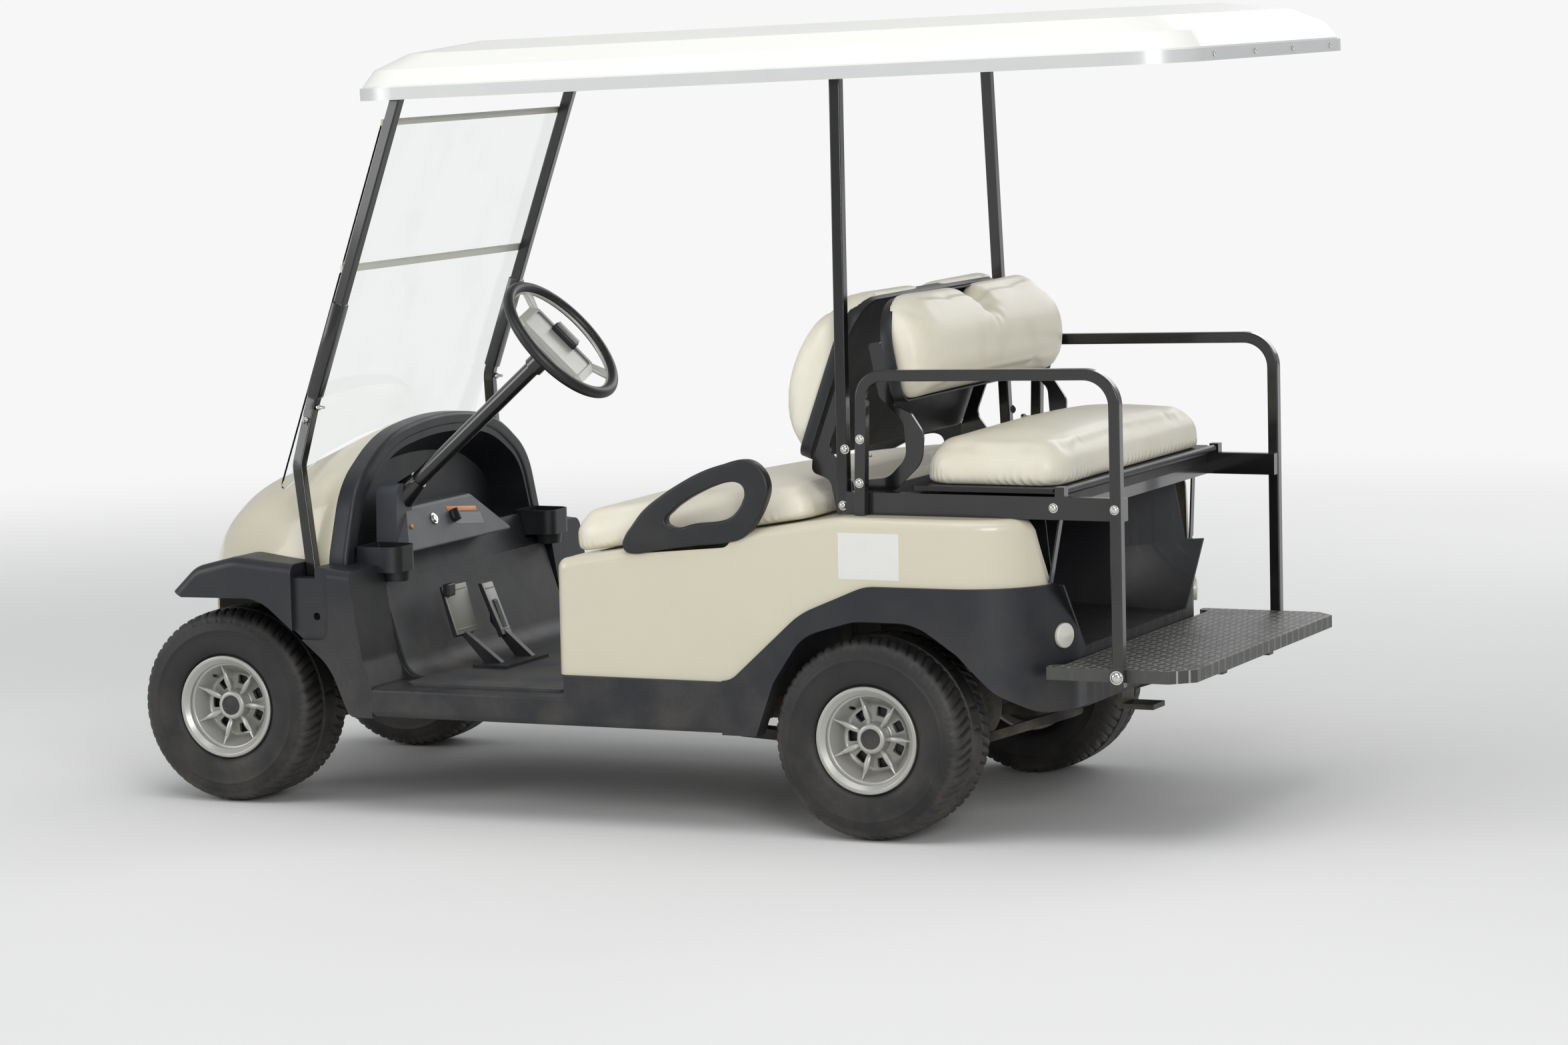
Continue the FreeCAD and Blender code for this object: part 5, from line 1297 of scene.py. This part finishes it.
@dataclass
class Cabin:
    """Small things on the dash, the pedals and the column."""

    dash_rise: float = 0.44
    dash_foot: tuple[float, float] = (1256.0, 584.0)
    # the pale strip's way down the column from its top, and its way out to the side, in metres
    strip_run: float = 0.512
    strip_side: float = 0.0262

    def on_dash(self, y: float, z: float) -> Matrix:
        """Frame on the slanted face of the dash."""
        slope = math.atan(self.dash_rise)
        look = Vector((-math.cos(slope), 0, math.sin(slope)))
        across = Vector((0, -1, 0))
        place = spot(self.dash_foot[0] + self.dash_rise * (z - self.dash_foot[1]), y, z)
        return placed(place, across, look.cross(across), look)

    def build(self) -> None:
        """Make the dash's switches, the pedal pads and the column's pale strip."""
        self.switches()
        self.pedal_pads()
        strip = block("strip", (-0.004, -0.0105, 0), (0.004, 0.0105, 0.0012), 0.0006)
        lean = math.radians(COLUMN_LEAN)
        along = Vector((math.cos(lean), 0, -math.sin(lean)))
        place = spot(*COLUMN_TOP) + along * self.strip_run + LEFT * self.strip_side
        over = Vector((0, 0, -1)).cross(along).normalized()
        strip.data.transform(placed(place, along, over, LEFT))
        outward(strip)
        hand_over(join([strip], "column_strip"), "cart", "white_mark")

    def switches(self) -> None:
        """Key switch, selector knob, lamp and blank amber stripe."""
        key = [rod("bezel", 0.014, (0, 0, 0), (0, 0, 0.004), 28, 0.0012),
               rod("barrel", 0.0095, (0, 0, 0), (0, 0, 0.0075), 24, 0.001)]
        slot = block("slot", (-0.0012, -0.006, 0.0072), (0.0012, 0.006, 0.0086), 0.0004)
        key_switch = join(key + [slot], "key_switch")
        key_switch.data.transform(self.on_dash(186, 646))
        hand_over(key_switch, "cart", "chrome")
        knob = rod("knob", 0.016, (0, 0, 0), (0, 0, 0.012), 28, 0.003)
        choose(knob, lambda centre, normal: normal.z > 0.9)
        bpy.ops.mesh.inset(thickness=0.003, depth=-0.001)
        end_edit()
        grip = block("grip", (-0.003, -0.015, 0.009), (0.003, 0.015, 0.020), 0.0015)
        selector = join([knob, grip], "selector_knob")
        selector.data.transform(self.on_dash(92, 643))
        hand_over(selector, "cart", "dark_cap", 40)
        lamp = rod("lamp", 0.0055, (0, 0, 0), (0, 0, 0.004), 18, 0.0016)
        stripe = block("stripe", (-0.070, -0.006, 0), (0.070, 0.006, 0.0008), 0.0003)
        slant = Matrix.Rotation(math.radians(-6), 4, "Z")
        lamp.data.transform(self.on_dash(302, 640))
        stripe.data.transform(self.on_dash(36, 655) @ slant)
        label = block("dash_label", (-0.066, -0.015, 0), (0.066, 0.015, 0.0006), 0.0002)
        label.data.transform(self.on_dash(22, 631) @ slant)
        hand_over(label, "cart", "grey_label")
        marks = join([lamp, stripe], "dash_marks")
        hand_over(marks, "cart", "amber", 40)

    def pedal_pads(self) -> None:
        """Pad faces with a lip at each end, and the brake's square latch."""
        pads = []
        # both sides of each pedal's face, its foot and its head from the side, its thickness
        for near, far, low, high, thick in (
                (256, 140, (1197, 373), (1232, 493), 0.006), (106, 54, (1150, 358), (1204, 485), 0.003)):
            middle, width = (near + far) / 2, (near - far) * MM
            foot, head = spot(low[0], middle, low[1]), spot(high[0], middle, high[1])
            along = (head - foot).normalized()
            out = along.cross(LEFT)
            out = -out if out.x > 0 else out
            seat = foot + out * thick / 2
            pads.append(bar("pad", seat + along * 0.003, seat + along * ((head - foot).length - 0.003),
                            out, (width * 0.86, width, thick), thick * 0.35))
            for share in (0.12, 0.88):
                at = foot + along * (head - foot).length * share + out * thick
                reach = Vector((0, width * 0.40, 0))
                pads.append(rod("lip", 0.0018, at - reach, at + reach, 12, 0.0008))
        faces = join(pads, "pedal_pads")
        hand_over(faces, "cart", "pad_metal", 40)
        latch = block("brake_latch", spot(1207, 226, 470), spot(1224, 262, 500), 0.004)
        hand_over(latch, "cart", "dark_cap")


@dataclass
class SteeringWheel:
    """Grip ring, wide pale pad on four spokes and the clip at its edge."""

    turn: float = 15.0
    radius: float = 0.159
    grip: float = 0.0135
    # angle of each spoke's end on the ring, and where it leaves the pad
    spokes: tuple[tuple[float, float, float], ...] = (
        (-25, 0.086, -0.050), (43, 0.084, 0.052), (205, -0.086, -0.050), (137, -0.084, 0.052))

    def seat(self) -> Matrix:
        """Turn and move from the wheel's own frame, whose Z is its axis."""
        lean = math.radians(COLUMN_LEAN)
        axis = Vector((-math.cos(lean), 0, math.sin(lean)))
        up = Vector((math.sin(lean), 0, math.cos(lean)))
        straight = placed(spot(*COLUMN_TOP), up, LEFT, axis)
        return straight @ Matrix.Rotation(math.radians(self.turn), 4, "Z")

    def ring(self, radius: float, section: float, height: float) -> Piece:
        """Round ring about the wheel's axis."""
        clear()
        bpy.ops.mesh.primitive_torus_add(major_radius=radius, minor_radius=section, major_segments=96,
                                         minor_segments=18, location=(0, 0, height))
        return settle(named("ring"))

    def build(self) -> None:
        """Make the black and the pale parts."""
        pad = block("pad", (-0.098, -0.064, -0.026), (0.098, 0.066, -0.012), 0.005, 0.020)
        choose(pad, lambda centre, normal: normal.z > 0.95)
        bpy.ops.mesh.inset(thickness=0.011, depth=0.0)
        bpy.ops.mesh.inset(thickness=0.0018, depth=-0.0016)
        end_edit()
        pale = [pad, self.ring(0.1470, 0.0042, -0.003)]
        for angle, x, y in self.spokes:
            turn = math.radians(angle)
            end = Vector((0.152 * math.cos(turn), 0.152 * math.sin(turn), -0.003))
            pale.append(bar("spoke", Vector((x, y, -0.018)), end, Vector((0, 0, 1)),
                            (0.024, 0.036, 0.009), 0.003))
        for y in (-0.068, -0.075, -0.082):
            pale.append(rod("ridge", 0.0032, (-0.033, y, -0.006), (0.033, y, -0.006), 14, 0.0012))
        light = join(pale, "steering_pad")
        clip = block("clip", (-0.036, -0.064, -0.014), (0.036, -0.036, 0.002), 0.005)
        jaw = block("jaw", (-0.034, -0.086, -0.016), (0.034, -0.060, -0.007), 0.003)
        boss = rod("boss", 0.034, (0, 0, -0.046), (0, 0, -0.024), 40, 0.006)
        shaft = rod("shaft", 0.009, (0, 0, -0.080), (0, 0, -0.04), 24)
        dark = join([self.ring(self.radius, self.grip, 0), clip, jaw, boss, shaft], "steering_grip")
        for piece, finish in ((light, "spokes"), (dark, "steering")):
            piece.data.transform(self.seat())
            hand_over(piece, "steering_wheel_body", finish, 40)
        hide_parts("steering_wheel")


@dataclass
class HipLoops:
    """Moulded loops beside the bench, traced from the side: forward and up, in millimetres."""

    outer: tuple[tuple[float, float], ...] = (
        (584, 650), (577, 671), (560, 694), (531, 729), (486, 763), (439, 792), (383, 820), (332, 837),
        (286, 848), (259, 844), (237, 827), (224, 803), (222, 778), (231, 749), (249, 715), (268, 689),
        (290, 671), (320, 662), (406, 652), (499, 639), (560, 630), (577, 635))
    inner: tuple[tuple[float, float], ...] = (
        (476, 706), (459, 728), (426, 752), (389, 772), (349, 789), (324, 796), (300, 797), (285, 789),
        (280, 773), (285, 755), (298, 734), (312, 721), (332, 712), (404, 702), (462, 693))
    face: float = 598.0
    thickness: float = 0.030
    edge: float = 0.006

    def build(self) -> None:
        """Make the left loop and mirror it."""
        clear()
        bpy.ops.curve.primitive_bezier_circle_add()
        loop = named("hip_loop")
        curve = loop.data
        curve.dimensions = "2D"
        curve.fill_mode = "BOTH"
        curve.extrude = self.thickness / 2 - self.edge
        curve.bevel_depth = self.edge
        curve.bevel_resolution = 3
        curve.offset = -self.edge
        curve.resolution_u = 6
        curve.splines.clear()
        for points in (self.outer, self.inner):
            spline = curve.splines.new("BEZIER")
            spline.bezier_points.add(len(points) - 1)
            spline.use_cyclic_u = True
            for point, (x, z) in zip(spline.bezier_points, points):
                point.co = (x * MM + REAR_AXLE, z * MM, 0)
                point.handle_left_type = point.handle_right_type = "AUTO"
        pick(loop)
        bpy.ops.object.convert(target="MESH")
        loop = named("hip_loop")
        middle = LEFT * (self.face * MM - self.thickness / 2)
        loop.data.transform(placed(middle, Vector((1, 0, 0)), Vector((0, 0, 1)), -LEFT))
        outward(loop)
        other = duplicate(loop, "other_loop", Matrix.Scale(-1, 4, LEFT))
        both = join([loop, other], "hip_loops")
        hand_over(both, "cart", "shell", 40)
        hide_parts("hip_restraints")


@dataclass
class Trim:
    """Windshield strips, strut sleeves, roof screws and the blank label."""

    lean: float = 0.35
    strut_foot: tuple[float, float] = (1454.0, 940.0)
    strut_side: float = 447.0
    strut_depth: float = 12.7
    screw_height: float = 1703.0
    roof_lean: float = 1.88

    def strut_at(self, z: float) -> float:
        """Front-to-back place of the front struts at a height, in millimetres."""
        return self.strut_foot[0] - (z - self.strut_foot[1]) * self.lean

    def build(self) -> None:
        """Make the strips, the sleeves, the screws and the label."""
        strips = []
        for low, high in ((1248, 1266), (1588, 1603)):
            pane = self.strut_at((low + high) / 2) + self.strut_depth * math.hypot(1, self.lean) + 1.2
            strips.append(block("strip", spot(pane - 0.6, -455, low), spot(pane + 7.4, 455, high),
                                0.0012))
        hand_over(join(strips, "windshield_strips"), "cart", "pale_edge", 40)
        sleeves = []
        for side in SIDES:
            low, high = (spot(self.strut_at(z), side * self.strut_side, z) for z in (958, 1178))
            sleeves.append(bar("sleeve", low, high, LEFT, (0.0315, 0.0315, 0.0315), 0.004))
        hand_over(join(sleeves, "strut_sleeves"), "cart", "tube", 40)
        self.roof_screws()
        label = block("side_label", spot(-88, 589.9, 588), spot(57, 590.5, 691), 0.0002)
        hand_over(label, "cart", "white_mark")

    def roof_screws(self) -> None:
        """Pan-head screws along the roof's edge band."""
        slope = math.tan(math.radians(self.roof_lean))
        model = rod("screw_model", 0.0062, (0, 0, 0), (0, 0, 0.0022), 16, 0.0012)
        seats = [(x, side * 588, Matrix.Rotation(-side * math.pi / 2, 4, "X"))
                 for side in SIDES for x in range(-600, 1151, 250)]
        seats += [(x, y, Matrix.Rotation(sign * math.pi / 2, 4, "Y"))
                  for x, sign in ((1275, 1), (-766, -1)) for y in (-400, -130, 130, 400)]
        screws = [duplicate(model, "screw",
                            Matrix.Translation(spot(x, y, self.screw_height - x * slope)) @ look)
                  for x, y, look in seats]
        bpy.data.objects.remove(model)
        hand_over(join(screws, "roof_edge_screws"), "cart", "chrome", 40)


# Studio

@dataclass(frozen=True)
class Lamp:
    """A soft square lamp."""

    name: str
    place: tuple[float, float, float]
    aim: tuple[float, float, float]
    size: float
    power: float


@dataclass
class Studio:
    """Pale floor, soft lamps and the camera."""

    eye: Vector
    yaw: float
    pitch: float
    roll: float
    lens: float
    lamps: tuple[Lamp, ...]
    white: float = 0.93
    fade: tuple[float, float] = (2.6, 8.5)

    def build(self) -> None:
        """Set up the floor, the world, the lamps and the camera."""
        self.floor()
        self.world()
        for lamp in self.lamps:
            data = bpy.data.lights.new(lamp.name, "AREA")
            data.shape = "SQUARE"
            data.size = lamp.size
            data.energy = lamp.power
            light = bpy.data.objects.new(lamp.name, data)
            light.location = lamp.place
            aim = Vector(lamp.aim) - Vector(lamp.place)
            light.rotation_euler = aim.to_track_quat("-Z", "Y").to_euler()
            bpy.context.collection.objects.link(light)
        self.camera()
        bpy.context.scene.view_settings.view_transform = "Standard"

    def floor(self) -> None:
        """Wide floor that fades into the background far from the cart."""
        clear()
        bpy.ops.mesh.primitive_circle_add(vertices=96, radius=60, fill_type="NGON", location=(0, 0, 0))
        floor = settle(named("studio_floor"))
        material, graph, place = blank_material("floor_paper")
        far = graph.ramp(graph.vector("LENGTH", place).outputs["Value"], *self.fade)
        rays = graph.add("LightPath")
        seen = graph.calc("MAXIMUM", rays.outputs["Is Camera Ray"],
                          graph.calc("MAXIMUM", rays.outputs["Is Glossy Ray"],
                                     rays.outputs["Is Transmission Ray"]))
        paper = graph.add("BsdfDiffuse")
        tone = graph.noise(place, 0.6, 2.0)
        shades = (0.74, 0.74, 0.73, 1), (0.80, 0.80, 0.79, 1)
        graph.feed(paper.inputs["Color"], graph.blend(tone, *shades))
        glow = graph.add("Emission")
        glow.inputs["Color"].default_value = (self.white, self.white, self.white, 1)
        mix = graph.add("MixShader")
        graph.feed(mix.inputs[0], graph.calc("MULTIPLY", far, seen))
        graph.feed(mix.inputs[1], paper.outputs[0])
        graph.feed(mix.inputs[2], glow.outputs[0])
        graph.feed(graph.add("OutputMaterial").inputs["Surface"], mix.outputs[0])
        floor.data.materials.append(material)

    def world(self) -> None:
        """Even grey light, white where the camera sees it, directly or through the windshield."""
        world = bpy.data.worlds.new("studio_world")
        bpy.context.scene.world = world
        world.use_nodes = True
        graph = Graph(world.node_tree)
        world.node_tree.nodes.clear()
        rays = graph.add("LightPath")
        seen = graph.calc("MAXIMUM", rays.outputs["Is Camera Ray"], rays.outputs["Is Transmission Ray"])
        light = graph.add("Background")
        light.inputs["Color"].default_value = (0.96, 0.98, 1.0, 1)
        light.inputs["Strength"].default_value = 0.5
        back = graph.add("Background")
        back.inputs["Color"].default_value = (self.white, self.white, self.white, 1)
        mix = graph.add("MixShader")
        graph.feed(mix.inputs[0], seen)
        graph.feed(mix.inputs[1], light.outputs[0])
        graph.feed(mix.inputs[2], back.outputs[0])
        graph.feed(graph.add("OutputWorld").inputs["Surface"], mix.outputs[0])

    def camera(self) -> None:
        """Camera at the photographer's place and angle."""
        ahead = Vector((math.sin(self.yaw) * math.cos(self.pitch),
                        -math.cos(self.yaw) * math.cos(self.pitch), math.sin(self.pitch)))
        right = ahead.cross(Vector((0, 0, 1))).normalized()
        up = right.cross(ahead)
        across = math.cos(self.roll) * right + math.sin(self.roll) * up
        over = -math.sin(self.roll) * right + math.cos(self.roll) * up
        data = bpy.data.cameras.new("photo_camera")
        data.lens = self.lens
        data.sensor_width = 36.0
        data.clip_end = 200
        camera = bpy.data.objects.new("photo_camera", data)
        camera.matrix_world = placed(self.eye, across, over, -ahead)
        bpy.context.collection.objects.link(camera)
        bpy.context.scene.camera = camera


def main() -> None:
    """Dress the cart and set up the studio."""
    logging.basicConfig(level=logging.INFO, format="%(message)s")
    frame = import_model()
    PAINT.dress_nodes(frame)
    Wheels().build()
    Seats(front_foot=spot(193, 0, 837), front_head=spot(60, 0, 1205),
          rear_foot=spot(-34, 0, 966), rear_head=spot(14, 0, 1205)).build()
    SteeringWheel().build()
    HipLoops().build()
    Bolts().build()
    Cabin().build()
    Trim().build()
    Studio(
        eye=Vector((-4.9147, 10.61473, 1.92971)), yaw=0.42473, pitch=-0.11039, roll=-0.02118,
        lens=114.78, lamps=(
            Lamp("overhead", (-0.6, 1.6, 5.6), (0, 0, 0.6), 4.5, 120.0),
            Lamp("camera_side", (-5.0, 6.5, 3.2), (0, 0, 0.8), 3.0, 210.0),
            Lamp("front_side", (5.5, 4.5, 2.8), (0.4, 0, 0.8), 3.0, 110.0),
            Lamp("far_side", (-1.0, -6.0, 3.6), (0, 0, 0.8), 3.5, 80.0))).build()


if __name__ == "__main__":
    main()
